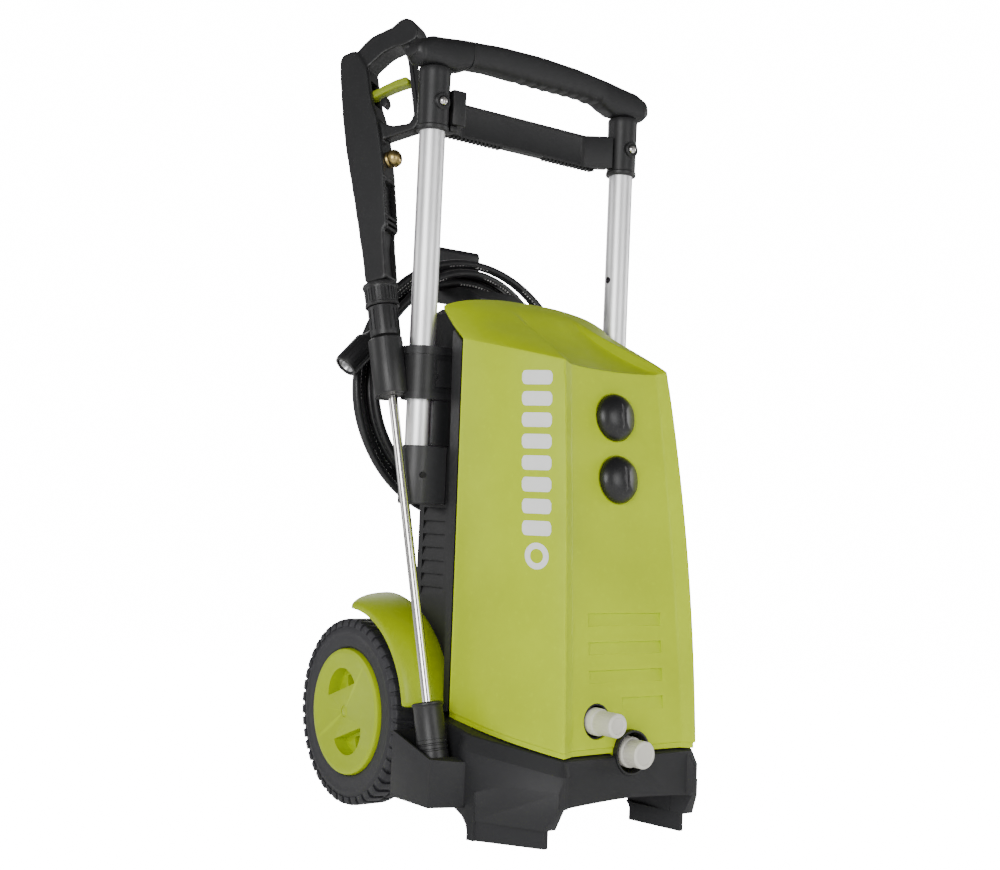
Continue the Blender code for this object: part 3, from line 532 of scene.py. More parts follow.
def coupling(word, joint, away):
    turn = Matrix.Translation(joint) @ away.to_track_quat("Z", "Y").to_matrix().to_4x4()
    profile = [(0.0053, -0.002), (0.0075, -0.002), (0.0085, 0.010), (0.0105, 0.0185), (0.0138, 0.0235),
               (0.0148, 0.0255), (0.0148, 0.0620), (0.0138, 0.0655), (0.0112, 0.0660), (0.0108, 0.0640),
               (0.0106, 0.0300), (0.0053, 0.0300)]
    body = lathe("hose_coupling_" + word, profile, GUN_BLACK, turn, 72)
    tools = []
    for i in range(20):
        spin = Matrix.Rotation(2 * math.pi * i / 20, 4, "Z")
        tools.append(block("knurl", (0.0143, -0.0008, 0.0290), (0.0160, 0.0008, 0.0600), None,
                           turn @ spin))
    cut(body, join("knurls_" + word, tools))
    done(body, "machine", "hose_%s_coupling" % word)
    sleeve = lathe("hose_nipple_" + word, [(0.0060, 0.0300), (0.0104, 0.0300), (0.0104, 0.0630),
                                           (0.0096, 0.0640), (0.0084, 0.0640), (0.0078, 0.0630),
                                           (0.0060, 0.0550)], STEEL, turn, 48)
    done(sleeve, "machine")
    return body


def join(name, objs):
    """One hidden tool made of several that don't touch."""
    bm = bmesh.new()
    for obj in objs:
        part = obj.data.copy()
        part.transform(Matrix.Translation(-MIDDLE) @ obj.matrix_world)
        bm.from_mesh(part)
        bpy.data.meshes.remove(part)
        bpy.data.objects.remove(obj, do_unlink=True)
    mesh = bpy.data.meshes.new(name)
    bm.to_mesh(mesh)
    bm.free()
    return link(name, mesh)


# ---- green shell ----------------------------------------------------------
def base_top(y):
    return 0.0924 + (y + 0.154) * 0.155


def shell_cage():
    """Half of the shell: rows from its foot up over its roof to the rear edge."""
    foot = ((0.1300, 0.0000), (0.1268, -0.0530), (0.1150, -0.1065), (0.0943, -0.1540),
            (0.0785, -0.1484), (0.0590, -0.1476), (0.0300, -0.1473), (0.0, -0.1472))
    head = ((0.1300, 0.0050), (0.1215, -0.0320), (0.1020, -0.0710), (0.0752, -0.1073),
            (0.0625, -0.1018), (0.0510, -0.1010), (0.0250, -0.1004), (0.0, -0.1002))
    head_z = (0.5330, 0.5258, 0.5172, 0.5084, 0.5052, 0.5036, 0.5026, 0.5022)
    forward = (0.0, 0.0024, 0.0050, 0.0078, 0.0036, 0.0026, 0.0024, 0.0024)
    outward = (0.0, 0.0018, 0.0030, 0.0036, 0.0024, 0.0, 0.0, 0.0)
    rows = []
    for t in (0.0, 0.0125, 0.0155, 0.16, 0.34, 0.52, 0.70, 0.86, 0.975, 1.0):
        row = []
        for (fx, fy), (hx, hy), hz, ahead, aside in zip(foot, head, head_z, forward, outward):
            out = 4 * t * (1 - t)
            tuck = LIP if t < 0.014 else 0.0
            y = fy + (hy - fy) * t - out * ahead + tuck
            x = fx + (hx - fx) * t + out * aside - (tuck if fx > 0.05 else 0.0)
            low = base_top(fy) + 0.0015
            row.append((x, y, low + (hz - low) * t))
        rows.append(row)
    rows.append([(0.1297, 0.0085, 0.5365), (0.1190, -0.0260, 0.5305), (0.0985, -0.0640, 0.5228),
                 (0.0715, -0.0985, 0.5142), (0.0595, -0.0935, 0.5070), (0.0485, -0.0925, 0.5055),
                 (0.0240, -0.0915, 0.5047), (0.0, -0.0912, 0.5045)])
    rows.append([(0.1270, 0.0225, 0.5450), (0.1150, -0.0035, 0.5432), (0.0935, -0.0320, 0.5400),
                 (0.0610, -0.0500, 0.5365), (0.0520, -0.0480, 0.5262), (0.0420, -0.0470, 0.5240),
                 (0.0210, -0.0465, 0.5230), (0.0, -0.0465, 0.5228)])
    rows.append([(0.1245, 0.0370, 0.5560), (0.1090, 0.0210, 0.5572), (0.0850, 0.0060, 0.5582),
                 (0.0520, -0.0030, 0.5590), (0.0440, -0.0020, 0.5510), (0.0360, -0.0020, 0.5490),
                 (0.0180, -0.0020, 0.5485), (0.0, -0.0020, 0.5484)])
    rows.append([(0.1225, 0.0480, 0.5655), (0.1040, 0.0400, 0.5720), (0.0790, 0.0340, 0.5755),
                 (0.0470, 0.0290, 0.5780), (0.0370, 0.0270, 0.5784), (0.0310, 0.0260, 0.5785),
                 (0.0160, 0.0260, 0.5786), (0.0, 0.0260, 0.5786)])
    rows.append([(0.1200, 0.0600, 0.5765), (0.0990, 0.0600, 0.5845), (0.0740, 0.0600, 0.5890),
                 (0.0450, 0.0600, 0.5920), (0.0360, 0.0600, 0.5924), (0.0300, 0.0600, 0.5926),
                 (0.0150, 0.0600, 0.5928), (0.0, 0.0600, 0.5928)])
    return rows


def front_shell():
    rows = shell_cage()
    creases = {("across", 1): 0.9, ("across", 2): 0.9, ("across", 9): 0.55, ("along", 3): 0.80,
               ("along", 4): 0.72}

    def build(bm):
        weight = bm.edges.layers.float.new("crease_edge")
        full = [[(-x, y, z) for x, y, z in reversed(row[:-1])] for row in rows]
        grid = [[bm.verts.new(p) for p in row] + [bm.verts.new(p) for p in mirrored]
                for row, mirrored in zip(rows, full)]
        for low, high in zip(grid, grid[1:]):
            for i in range(len(low) - 1):
                bm.faces.new((low[i], high[i], high[i + 1], low[i + 1]))
        last = len(rows[0]) * 2 - 2
        for r, row in enumerate(grid):
            for c in range(len(row)):
                half = min(c, last - c)
                if c < last:
                    edge = bm.edges.get((row[c], row[c + 1]))
                    edge[weight] = creases.get(("across", r), 0.0)
                    if r in (0, len(grid) - 1):
                        edge[weight] = 1.0
                if r < len(grid) - 1:
                    edge = bm.edges.get((row[c], grid[r + 1][c]))
                    edge[weight] = creases.get(("along", half),
                                               0.0) * (0.0 if r > 12 else 0.6 if r in (8, 9) else 1.0)
                    if half == 0:
                        edge[weight] = 1.0

    obj = link("front_shell_skin", from_bmesh("front_shell_skin", build), GREEN_SHELL)
    up = sum(p.normal.z for p in obj.data.polygons)
    if up < 0:
        obj.data.flip_normals()
    sub = obj.modifiers.new("smooth", "SUBSURF")
    sub.levels = sub.render_levels = 3
    wall = obj.modifiers.new("wall", "SOLIDIFY")
    wall.thickness = 0.0040
    wall.offset = -1
    wall.use_even_offset = True
    tools = []
    turn = Matrix.Rotation(-PANEL_LEAN, 4, "X")
    for z, left, right in ((0.2395, -0.0520, 0.0520), (0.2097, -0.0520, 0.0520),
                           (0.1802, -0.0520, 0.0520), (0.1510, -0.0070, 0.0520)):
        y = panel_y(z)
        wedge = [(0.0022, 0.0), (-0.004, 0.0012), (-0.004, -0.0150), (0.0, -0.0126)]
        tools.append(prism("louvre", wedge, right - left, SIDE, (left + right) / 2, None,
                           Matrix.Translation((0, y, z)) @ turn))
    for z in (0.451, 0.383):
        tools.append(rod("knob_seat", KNOB_R + 0.0012, -0.0012, 0.020, None, knob_turn(z)))
    cut(obj, join("louvres", tools))
    holes = [rod("fitting_hole", r, 0.10, 0.20, None, Matrix.Translation((x, 0, z)) @ TO_FRONT)
             for x, z, r in ((-0.043, 0.1285, 0.0186), (0.003, 0.0945, 0.0240))]
    cut(obj, join("fitting_holes", holes))
    obj.modifiers["fitting_holes"].solver = "FAST"
    done(obj, "machine", "front_shell", angle=24)
    for x, z, r in ((-0.043, 0.1285, 0.0184), (0.003, 0.0945, 0.0238)):
        y = panel_y(max(z, 0.10))
        cup = lathe("recess_cup", [(r - 0.0015, -y - 0.001), (r, -y - 0.001), (r, 0.118), (0, 0.118),
                                   (0, 0.1195), (r - 0.0015, 0.1195)],
                    DEEP_BLACK if x < 0 else GREEN_PART, Matrix.Translation((x, 0, z)) @ TO_FRONT)
        done(cup, "machine")
    return obj


def panel_y(z):
    """Depth of the hollow front panel's middle at a height."""
    t = (z - 0.094) / (0.498 - 0.094)
    return -0.1472 + 0.0470 * t - 4 * t * (1 - t) * 0.0024


def knob_turn(z):
    return Matrix.Translation((KNOB_X, panel_y(z) - 0.0005,
                               z)) @ Matrix.Rotation(math.pi / 2 - PANEL_LEAN, 4, "X")


MARK_PLACE = Vector((-0.0907, -0.0910, 0.4102))


def panel_mark(shell):
    """Plain printed bars and a ring on the shell's left side panel."""
    graph = bpy.context.evaluated_depsgraph_get()
    tree = BVHTree.FromObject(shell, graph)
    move = shell.matrix_world.inverted() @ Matrix.Translation(MIDDLE)
    across = Vector((0.436, -0.900, 0.0))
    inward = Vector((0.900, 0.436, 0.0))
    up = Vector((0.028, 0.110, 1.0))

    def lay(name, cells):
        def build(bm):
            for loop in cells:
                verts = []
                for a, b in loop:
                    start = MARK_PLACE + across * a + up * b - inward * 0.05
                    hit, normal, _, _ = tree.ray_cast(move @ start, inward)
                    verts.append(bm.verts.new(hit + normal * 0.00018))
                bm.faces.new(verts)
            bmesh.ops.remove_doubles(bm, verts=bm.verts, dist=0.00002)

        done(link(name, from_bmesh(name, build), MARK_WHITE), "machine")

    wide, tall, corner, cells = 0.0170, 0.0078, 0.0045, []

    def reach(a):
        past = max(0.0, abs(a) - (wide - corner))
        return tall - corner + math.sqrt(max(0.0, corner ** 2 - past ** 2))

    for i in range(8):
        middle = -0.083 + i * 0.0230
        for k in range(20):
            a0, a1 = -wide + wide * k / 10, -wide + wide * (k + 1) / 10
            for m in range(6):
                low, high = -1 + m / 3, -1 + (m + 1) / 3
                cells.append([(a0, middle + reach(a0) * low), (a1, middle + reach(a1) * low),
                              (a1, middle + reach(a1) * high), (a0, middle + reach(a0) * high)])
    lay("panel_bars", cells)
    ring = []
    for i in range(40):
        a0, a1 = 2 * math.pi * i / 40, 2 * math.pi * (i + 1) / 40
        for inner, outer in ((0.0075, 0.0108), (0.0108, 0.0140)):
            corners = ((outer, a0), (outer, a1), (inner, a1), (inner, a0))
            ring.append([(r * math.cos(a), r * math.sin(a) - 0.1120) for r, a in corners])
    lay("panel_ring", ring)


def both(half):
    """A half outline at +x, completed at -x."""
    return list(half) + [(-x, y) for x, y in reversed(half)]


def inset(loop, d):
    """A counterclockwise outline moved inwards by d."""
    out = []
    for i in range(len(loop)):
        here = Vector(loop[i])
        into = (here - Vector(loop[i - 1])).normalized()
        onward = (Vector(loop[(i + 1) % len(loop)]) - here).normalized()
        normal = Vector((-into.y - onward.y, into.x + onward.x))
        out.append(tuple(here + normal * d / max(0.25, 1 + into.dot(onward))))
    return out


def sloped(name, plan, low, top, material=None, lip=0.0):
    """A body on a plan outline whose top follows y, with a bevelled top edge."""
    steps = [(0.0, -lip), (0.0006, 0.0010 - lip), (0.0064, -0.0012),
             (0.0080, 0.0)] if lip else [(0.0, 0.0)]
    rings = [[(x, y, low) for x, y in plan]]
    for d, drop in steps:
        rings.append([(x, y, top(y0) + drop) for (x, y), (_, y0) in zip(inset(plan, d), plan)])
    return loft(name, rings, material)


def soften(obj, voxel, rounds):
    """Rounds a whole piece as a worn or moulded one is."""
    remesh = obj.modifiers.new("remesh", "REMESH")
    remesh.mode = "VOXEL"
    remesh.voxel_size = voxel
    ease = obj.modifiers.new("ease", "SMOOTH")
    ease.factor = 0.5
    ease.iterations = rounds
    return obj


def at(x, y, z, turn=FLAT):
    return Matrix.Translation((x, y, z)) @ turn


# ---- base -----------------------------------------------------------------
def base():
    half = [(0.0930, -0.1568), (0.0990, -0.1520), (0.1475, -0.0580), (0.1475, 0.0240), (0.1155, 0.0300)]
    body = sloped("base_skin", both(half), 0.036, base_top, BASE_GREY, lip=0.0160)
    cut(body, block("base_tail", (-0.1150, 0.010, 0.040), (0.1150, 0.172, 0.1227)), operation="UNION")
    for side in (1, -1):
        shelf = [(0.120, -0.052), (0.1458, -0.0580), (0.1560, -0.0560), (0.1850, -0.0460),
                 (0.1850, 0.0260), (0.120, 0.0260)]
        corner = [(0.0890, -0.1340), (0.0905, -0.1530), (0.0985, -0.1535), (0.1468, -0.0590),
                  (0.0830, -0.0600)]
        foot = [(0.0935, -0.1330), (0.0985, -0.1330), (0.1450, -0.0615), (0.0830, -0.0620)]
        plans = [[(x * side, y) for x, y in loop] for loop in (shelf, corner, foot)]
        if side < 0:
            plans = [list(reversed(loop)) for loop in plans]
        cut(body, sloped("base_shelf", plans[0], 0.0330, lambda y: 0.0830 + (y + 0.046) * 0.28),
            sloped("base_corner", plans[1], 0.0205, lambda y: 0.060),
            sloped("base_foot", plans[2], 0.0, lambda y: 0.050), operation="UNION")
        gusset = [(-0.0700, 0.0), (-0.0618, 0.0), (-0.0565, 0.0150), (-0.0490, 0.0225), (-0.0340, 0.0285),
                  (-0.0240, 0.0345), (-0.0240, 0.0500), (-0.0700, 0.0500)]
        cut(body, prism("foot_gusset", gusset, 0.0560, SIDE, side * 0.1150), operation="UNION")
    bake(body)
    arch = [(0.0905, -0.010), (0.0905, 0.0430), (0.0600, 0.0452), (0.0250, 0.0470), (0.0, 0.0478)]
    tools = [prism("base_arch", both(arch), 0.080, FACE, 0.160)]
    slope = [(-0.1650, 0.0470), (-0.1560, 0.0470), (-0.1400, 0.0190), (-0.1650, 0.0190)]
    cut(body, prism("corner_slope", slope, 0.3200, SIDE, 0))
    for side in (1, -1):
        pocket = rounded_box(0.1625 * side - 0.0200, -0.0435, 0.1625 * side + 0.0200, 0.0225, 0.003)
        tools.append(prism("base_pocket", pocket, 0.1340, FLAT, 0.1333))
    cut(body, join("base_cuts", tools))
    cut(body, block("base_hollow", (-0.090, -0.145, 0.020), (0.090, 0.128, 0.070)))
    sideways = Matrix.Rotation(math.pi / 2, 4, "Y")
    cut(body, rod("axle_tunnel", 0.0064, -0.2, 0.2, None, at(0, AXLE.y, AXLE.z, sideways)))
    cut(body, rod("inlet_recess", 0.0240, 0.100, 0.20, None, at(0.003, 0, 0.0945, TO_FRONT)))
    panel = [(-0.0905, -0.1600), (0.0905, -0.1600), (0.0840, -0.1510), (-0.0840, -0.1510)]
    cut(body, prism("base_panel", panel, 0.120, FLAT, 0.060))
    bake(body)
    bevel(body, 0.0012, 2, 28)
    done(body, "machine", "base_tray", angle=28)
    cup = lathe("inlet_well", [(0.0215, 0.1520), (0.0236, 0.1520), (0.0236, 0.1170), (0, 0.1170),
                               (0, 0.1180), (0.0215, 0.1180)], DEEP_BLACK, at(0.003, 0, 0.0945, TO_FRONT))
    done(cup, "machine")


# ---- rear casing ----------------------------------------------------------
def housing():
    crown = [(0.1170, 0.1230), (0.1170, 0.5540), (0.1120, 0.5690), (0.1000, 0.5770), (0.0600, 0.5860),
             (0.0, 0.5885)]
    loop = both(crown[:-1])
    body = prism("housing_skin", loop, 0.0965, FACE, -0.05175, CASE_BLACK)
    bevel(body, 0.0060, 4, 40)
    bake(body)
    trim = filleted([(0.0035, 0.1230), (0.0080, 0.5300), (0.0245, 0.5450), (0.0262, 0.5380),
                     (0.0130, 0.1230)],
                    [0.001, 0.001, 0.004, 0.003, 0.001])
    cut(body, prism("housing_trim", trim, 0.2590, SIDE, 0), operation="UNION")
    inside = [(0.1135, 0.1100), (0.1135, 0.5540), (0.0970, 0.5690), (0.0580, 0.5790)]
    cut(body, prism("housing_cavity", both(inside), 0.0930, FACE, -0.0485))
    slope = [(-0.060, 0.4700), (0.0090, 0.5310), (0.0620, 0.5762), (0.0620, 0.7000), (-0.060, 0.7000)]
    cut(body, prism("roof_line", slope, 0.4, SIDE, 0))
    tools = []
    for side in (1, -1):
        for i in range(7):
            z = 0.2440 + 0.0150 * i
            tools.append(prism("louvre", [(0.1200 * side, z + 0.0110), (0.1140 * side, z + 0.0110),
                                          (0.1172 * side, z), (0.1200 * side, z)], 0.0440, FACE, -0.0640))
    cut(body, join("side_louvres", tools))
    cut(body, rod("filler_hole", 0.0176, 0.08, 0.12, None, at(0, 0, 0.300, TO_REAR)))
    cut(body, rod("gland_hole", 0.0106, 0.08, 0.12, None, at(0.085, 0, 0.160, TO_REAR)))
    line = rounded_box(-0.098, 0.1750, 0.098, 0.5480, 0.012)
    band = [tuple(p) for p in inset(line, 0.0022)]
    groove = prism("panel_groove", line, 0.0030, FACE, -0.1000)
    cut(groove, prism("panel_middle", band, 0.0200, FACE, -0.1000))
    bake(groove)
    cut(body, groove)
    done(body, "machine", "rear_housing", angle=30)


def fenders():
    section = ((0.1720, 0.1200), (0.1722, 0.1225), (0.1700, 0.1258), (0.1630, 0.1306), (0.1520, 0.1344),
               (0.1400, 0.1364), (0.1280, 0.1374), (0.1177, 0.1378))
    for side, word in ((-1, "left"), (1, "right")):
        rings = []
        for i in range(33):
            share = i / 32
            angle = math.radians(9 + 86 * share)
            close = max(0.0, (share - 0.86) / 0.14)
            shrink = math.sqrt(max(0.0, 1 - close ** 6))
            outer, inner = [], []
            for x, radius in section:
                across = 0.1177 + (x - 0.1177) * (0.45 + 0.55 * shrink)
                drop = (1 - shrink) * 0.0040
                for lift, row in ((0.0, outer), (-0.0026, inner)):
                    r = radius + lift - drop
                    row.append((side * across, AXLE.y - r * math.cos(angle),
                                AXLE.z + r * math.sin(angle)))
            rings.append(outer + inner[::-1])
        skin = loft(word + "_fender_skin", rings, GREEN_PART)
        sub = skin.modifiers.new("smooth", "SUBSURF")
        sub.levels = sub.render_levels = 1
        done(skin, "machine", word + "_fender", angle=50)


# ---- wheels ---------------------------------------------------------------
def wheels():
    for side, word in ((-1, "left"), (1, "right")):
        turn = at(0, AXLE.y, AXLE.z, Matrix.Rotation(side * math.pi / 2, 4, "Y"))
        body = word + "_wheel"
        tread = [(0.0725, 0.1300), (0.0800, 0.1250), (0.0930, 0.1240), (0.0985, 0.1265), (0.1030, 0.1320),
                 (0.1042, 0.1400), (0.1042, 0.1640), (0.1025, 0.1685), (0.0985, 0.1704), (0.0935, 0.1712),
                 (0.0925, 0.1717), (0.0900, 0.1717), (0.0890, 0.1712), (0.0830, 0.1712), (0.0765, 0.1710),
                 (0.0740, 0.1703), (0.0725, 0.1690)]
        tyre = lathe(word + "_tyre_skin", tread, TYRE_RUBBER, turn, 96)
        done(tyre, body, word + "_tyre", angle=35)
        lugs = []
        count = 44
        for i in range(count):
            for row, x0, x1, shift in ((0, 0.1245, 0.1470, 0.0), (1, 0.1490, 0.1714, 0.5)):
                spin = Matrix.Rotation(2 * math.pi * (i + shift) / count, 4, "Z")
                skew = 0.0016 if row else -0.0016
                half = 0.0050
                if row:
                    shape = [(0.1005, x0), (0.1060, x0 + 0.001), (0.1060, 0.1662), (0.1050, 0.1698),
                             (0.1012, 0.1715), (0.0965, 0.1719), (0.0965, 0.1660)]
                else:
                    shape = [(0.1005, x1), (0.1060, x1 - 0.001), (0.1060, 0.1350), (0.1035, 0.1290),
                             (0.0990, 0.1245), (0.0945, 0.1242), (0.0945, 0.1300)]
                rings = []
                for s in (-1, 1):
                    rings.append([(r, s * half + skew * (x - 0.148) * 90, x) for r, x in shape])
                lugs.append(loft("lug", rings, None, turn @ spin))
        blocks = solid(word + "_tread", lugs, TYRE_RUBBER)
        bevel(blocks, 0.0007, 2, 30)
        done(blocks, body, angle=40)
        disc = [(0.0064, 0.1740), (0.0640, 0.1740), (0.0655, HUB_FACE),
                (0.0690, HUB_FACE), (0.0710, HUB_FACE - 0.0010), (HUB_R, HUB_FACE - 0.0032),
                (HUB_R, 0.1290), (0.0662, 0.1290), (0.0662, 0.1470), (0.0170, 0.1470), (0.0150, 0.1240),
                (0.0064, 0.1240)]
        hub = lathe(word + "_hub_skin", disc, GREEN_PART, turn, 96)
        for flip in (0, math.pi):
            tilt = math.radians(20) + flip
            segment = filleted(arc(0, 0.0190, 0.0310, 12, 168, 18), 0.0035, 3)
            spin = Matrix.Rotation(-tilt, 4, "X")
            place = at(0, AXLE.y, AXLE.z) @ spin
            cut(hub, prism("hub_pocket", segment, 0.0300, SIDE, side * 0.1735, None, place))
            hole = rounded_box(-0.0100, 0.0290, 0.0080, 0.0430, 0.004)
            cut(hub, prism("hub_window", hole, 0.0700, SIDE, side * 0.1500, None, place))
        bake(hub)
        bevel(hub, 0.0011, 3, 40)
        done(hub, body, word + "_hub", angle=28)
        cap = lathe(word + "_hub_plug", [(0, 0.1741), (0.0050, 0.1740), (0.0060, 0.1734),
                                         (0.0061, 0.1700), (0, 0.1700)],
                    GREEN_PART, turn, 40)
        done(cap, body)


# ---- handle ---------------------------------------------------------------
def between(table, x):
    """A smooth reading of (x, value) pairs."""
    for (x0, v0), (x1, v1) in zip(table, table[1:]):
        if x <= x1:
            t = max(0.0, (x - x0) / (x1 - x0))
            return v0 + (v1 - v0) * (t * t * (3 - 2 * t) * 0.5 + t * 0.5)
    return table[-1][1]


def handle():
    crown = ((0.0, 0.8940), (0.0520, 0.8925), (0.1042, 0.8882), (0.1540, 0.8825), (0.1695, 0.8765),
             (0.1778, 0.8690))
    under = ((0.0, 0.8582), (0.0700, 0.8590), (0.0960, 0.8570), (0.1130, 0.8505), (0.1215, 0.8472),
             (0.1675, 0.8472), (0.1763, 0.8540))
    for word, low, high, material, grow in (("bar", -0.1778, 0.1778, CASE_BLACK, 0.0),
                                            ("rubber", -0.1040, 0.1040, GRIP_RUBBER, 0.0006)):
        rings = []
        steps = 150 if word == "bar" else 130
        for i in range(steps + 1):
            x = low + (high - low) * i / steps
            top, foot = between(crown, abs(x)), between(under, abs(x))
            if word == "bar" and abs(x) < 0.1035:
                top, foot = top - 0.0008, foot + 0.0010
            if word == "rubber":
                wave = 0.5 - 0.5 * math.cos(2 * math.pi * (x + 0.030) / 0.0165)
                foot += 0.0013 * wave if x > -0.030 else 0.0
            end = max(0.0, (abs(x) - 0.1680) / 0.0098) if word == "bar" else 0.0
            depth = 0.0163 + grow - 0.006 * end ** 2
            middle, tall = (top + foot) / 2, (top - foot) / 2
            tall = tall * (1 - 0.25 * end ** 2)
            ring = []
            for k in range(28):
                a = 2 * math.pi * k / 28
                c, s = math.cos(a), math.sin(a)
                power = 0.62
                lean = 0.010 * (x / 0.10) if word == "rubber" and abs(x) > 0.099 else 0.0
                ring.append((x + lean * c * 0.25, TUBE_Y + depth * math.copysign(abs(c) ** power, c),
                             middle + tall * math.copysign(abs(s) ** power, s)))
            rings.append(ring)
        piece = loft("handle_" + word, rings, material)
        done(piece, "handle", *(("handle_grip",) if word == "bar" else ()), angle=45)
    plan = [(0.1232, 0.0562), (0.0958, 0.0780), (-0.0958, 0.0780), (-0.1232, 0.0562), (-0.1235, 0.0720),
            (-0.1000, 0.0898), (0.1000, 0.0898), (0.1235, 0.0720)]
    panel = prism("cross_panel_skin", list(reversed(plan)), 0.0400, FLAT, 0.8005, CASE_BLACK)
    cut(panel, block("cross_relief", (-0.0900, 0.0700, 0.7840), (0.0900, 0.0786, 0.8170)))
    bake(panel)
    bevel(panel, 0.0010, 3, 30)
    done(panel, "handle", "cross_panel")
    extras = [block("end_block", (-0.1262, 0.0500, 0.7840), (-0.1080, 0.0740, 0.8250), None),
              block("end_foot", (-0.1262, 0.0540, 0.7765), (-0.1160, 0.0740, 0.7840), None)]
    block_piece = solid("cross_end", extras, CASE_BLACK)
    bevel(block_piece, 0.0016, 3, 30)
    done(block_piece, "handle")
    teeth = []
    for i in range(14):
        x = -0.1120 + 0.0058 * i
        teeth.append(block("tooth", (x, 0.0782, 0.7782), (x + 0.0030, 0.0880, 0.7808), None))
        teeth.append(block("tooth", (-x - 0.0030, 0.0782, 0.7782), (-x, 0.0880, 0.7808), None))
    rack = solid("cross_rack", teeth, CASE_BLACK)
    done(rack, "handle")
    for side, word in ((-1, "left"), (1, "right")):
        place = at(side * TUBE_X, TUBE_Y, 0)
        pipe = lathe(word + "_tube_skin", [(0.0134, 0.842), (0.0148, 0.842), (TUBE_R, 0.8418),
                                           (TUBE_R, 0.3522), (0.0148, 0.352), (0.0134, 0.352)],
                     ALUMINIUM, place, 64)
        hole = rod("pin_hole", 0.0042, 0.004, 0.03, None,
                   at(side * TUBE_X, TUBE_Y, 0.640, Matrix.Rotation(-side * math.pi / 2, 4, "Y")))
        cut(pipe, hole)
        done(pipe, "handle", word + "_tube")
        profile = [(0.0153, SLEEVE_HIGH), (0.0180, SLEEVE_HIGH), (0.0188, 0.8440), (0.0186, 0.8400),
                   (0.0183, 0.8200), (0.0181, 0.7800), (0.0190, 0.7788), (0.0190, 0.7752),
                   (0.0184, 0.7742), (0.0172, SLEEVE_LOW), (0.0153, SLEEVE_LOW)]
        sleeve = lathe(word + "_sleeve_skin", profile, CASE_BLACK, place, 64)
        boss = lathe("screw_boss", [(0, 0.0120), (0.0098, 0.0120), (0.0098, 0.0196), (0.0086, 0.0206),
                                    (0.0062, 0.0206), (0.0062, 0.0190), (0, 0.0190)], None,
                     at(side * TUBE_X, TUBE_Y, 0.806, TO_FRONT), 40)
        cut(sleeve, boss, operation="UNION")
        cut(sleeve, rod("sleeve_bore", 0.0152, 0.7, 0.9, None, place))
        cut(sleeve, rod("screw_well", 0.0061, 0.0189, 0.030, None,
                        at(side * TUBE_X, TUBE_Y, 0.806, TO_FRONT)))
        done(sleeve, "handle", word + "_sleeve")
        screw = lathe(word + "_screw_skin", [(0, 0.0240), (0.0022, 0.0238), (0.0042, 0.0226),
                                             (0.0054, 0.0204), (0.0056, 0.0190), (0, 0.0190)], CHROME,
                      at(side * TUBE_X, TUBE_Y, 0.806, TO_FRONT), 32)
        front = at(side * TUBE_X, TUBE_Y, 0.806, TO_FRONT)
        cross = [block("slot", (-0.0033, -0.0006, 0.0222), (0.0033, 0.0006, 0.0260), None,
                       front @ Matrix.Rotation(a, 4, "Z")) for a in (0.4, 1.97)]
        for tool in cross:
            cut(screw, tool)
        done(screw, "handle", word + "_handle_screw")


def solid(name, tools, material):
    """One visible piece made of several closed shapes."""
    obj = join(name, tools)
    TOOLS.objects.unlink(obj)
    PIECES.objects.link(obj)
    obj.hide_render = False
    obj.hide_viewport = False
    obj.display_type = "TEXTURED"
    obj.data.materials.append(material)
    return obj


# ---- clamps and sockets ---------------------------------------------------
def mounts():
    for side, word in ((-1, "left"), (1, "right")):
        place = at(side * TUBE_X, TUBE_Y, 0)
        bore = rod("tube_bore", 0.0153, 0.30, 0.60, None, place)
        for kind, low, high, wall in (("clamp", 0.4655, 0.5255, 0.0065),
                                      ("socket", 0.3480, 0.4135, 0.0048)):
            r = TUBE_R + wall
            curve = arc(TUBE_X, TUBE_Y, r, -90, 90, 16)
            plan = [(x * side, y) for x, y in [(0.1173, TUBE_Y - r)] + curve + [(0.1173, TUBE_Y + r)]]
            # The sockets' lighter grey is a painted highlight.
            look = CASE_BLACK if kind == "clamp" else SOCKET_HIGHLIGHT_GREY
            body = prism(word + "_%s_skin" % kind, plan, high - low, FLAT, (low + high) / 2, look)
            bevel(body, 0.0014, 3, 40)
            bake(body)
            if kind == "clamp":
                for z0, z1, grow in ((0.4655, 0.4735, 0.0012), (0.5165, 0.5255, 0.0014)):
                    wide = r + grow
                    curve = arc(TUBE_X, TUBE_Y, wide, -90, 90, 16)
                    plan = [(0.1173, TUBE_Y - wide)] + curve + [(0.1173, TUBE_Y + wide)]
                    band = [(x * side, y) for x, y in plan]
                    cut(body, prism("clamp_band", band, z1 - z0, FLAT, (z0 + z1) / 2), operation="UNION")
                plate = block("clamp_plate", (min(side * 0.1173, side * 0.1395), 0.0400, 0.4800),
                              (max(side * 0.1173, side * 0.1395), 0.0480, 0.5100))
                cut(body, plate, operation="UNION")
                cut(body, rod("clamp_hole", 0.0033, 0.04, 0.09, None,
                              at(side * 0.1400, 0.09, 0.4915, TO_FRONT)))
            else:
                cut(body, rod("socket_hole", 0.0037, 0.04, 0.09, None,
                              at(side * 0.1490, 0.09, 0.3805, TO_FRONT)))
            cut(body, bore)
            z = 0.4915 if kind == "clamp" else 0.3805
            # A dark disc sits in the screw hole as painted shade of the hole's depth.
            plug = rod("%s_%s_screw" % (word, kind), 0.0035, -0.0475, -0.0430, DEEP_BLACK,
                       at(side * (0.1400 if kind == "clamp" else 0.1490), 0, z, TO_FRONT), 20)
            done(plug, "machine")
            if kind == "clamp" and side < 0:
                cut(body, rod("lance_bore", 0.0146, 0.38, 0.60, None, Matrix.Translation(FOOT) @ LEAN))
            done(body, "machine", "%s_tube_%s" % (word, kind), angle=30)
        xs = sorted((side * 0.1173, side * 0.1405))
        cover = block(word + "_tube_cover", (xs[0], 0.0412, 0.4140), (xs[1], 0.0478, 0.4650), CASE_BLACK)
        bevel(cover, 0.0012, 2, 30)
        done(cover, "machine")


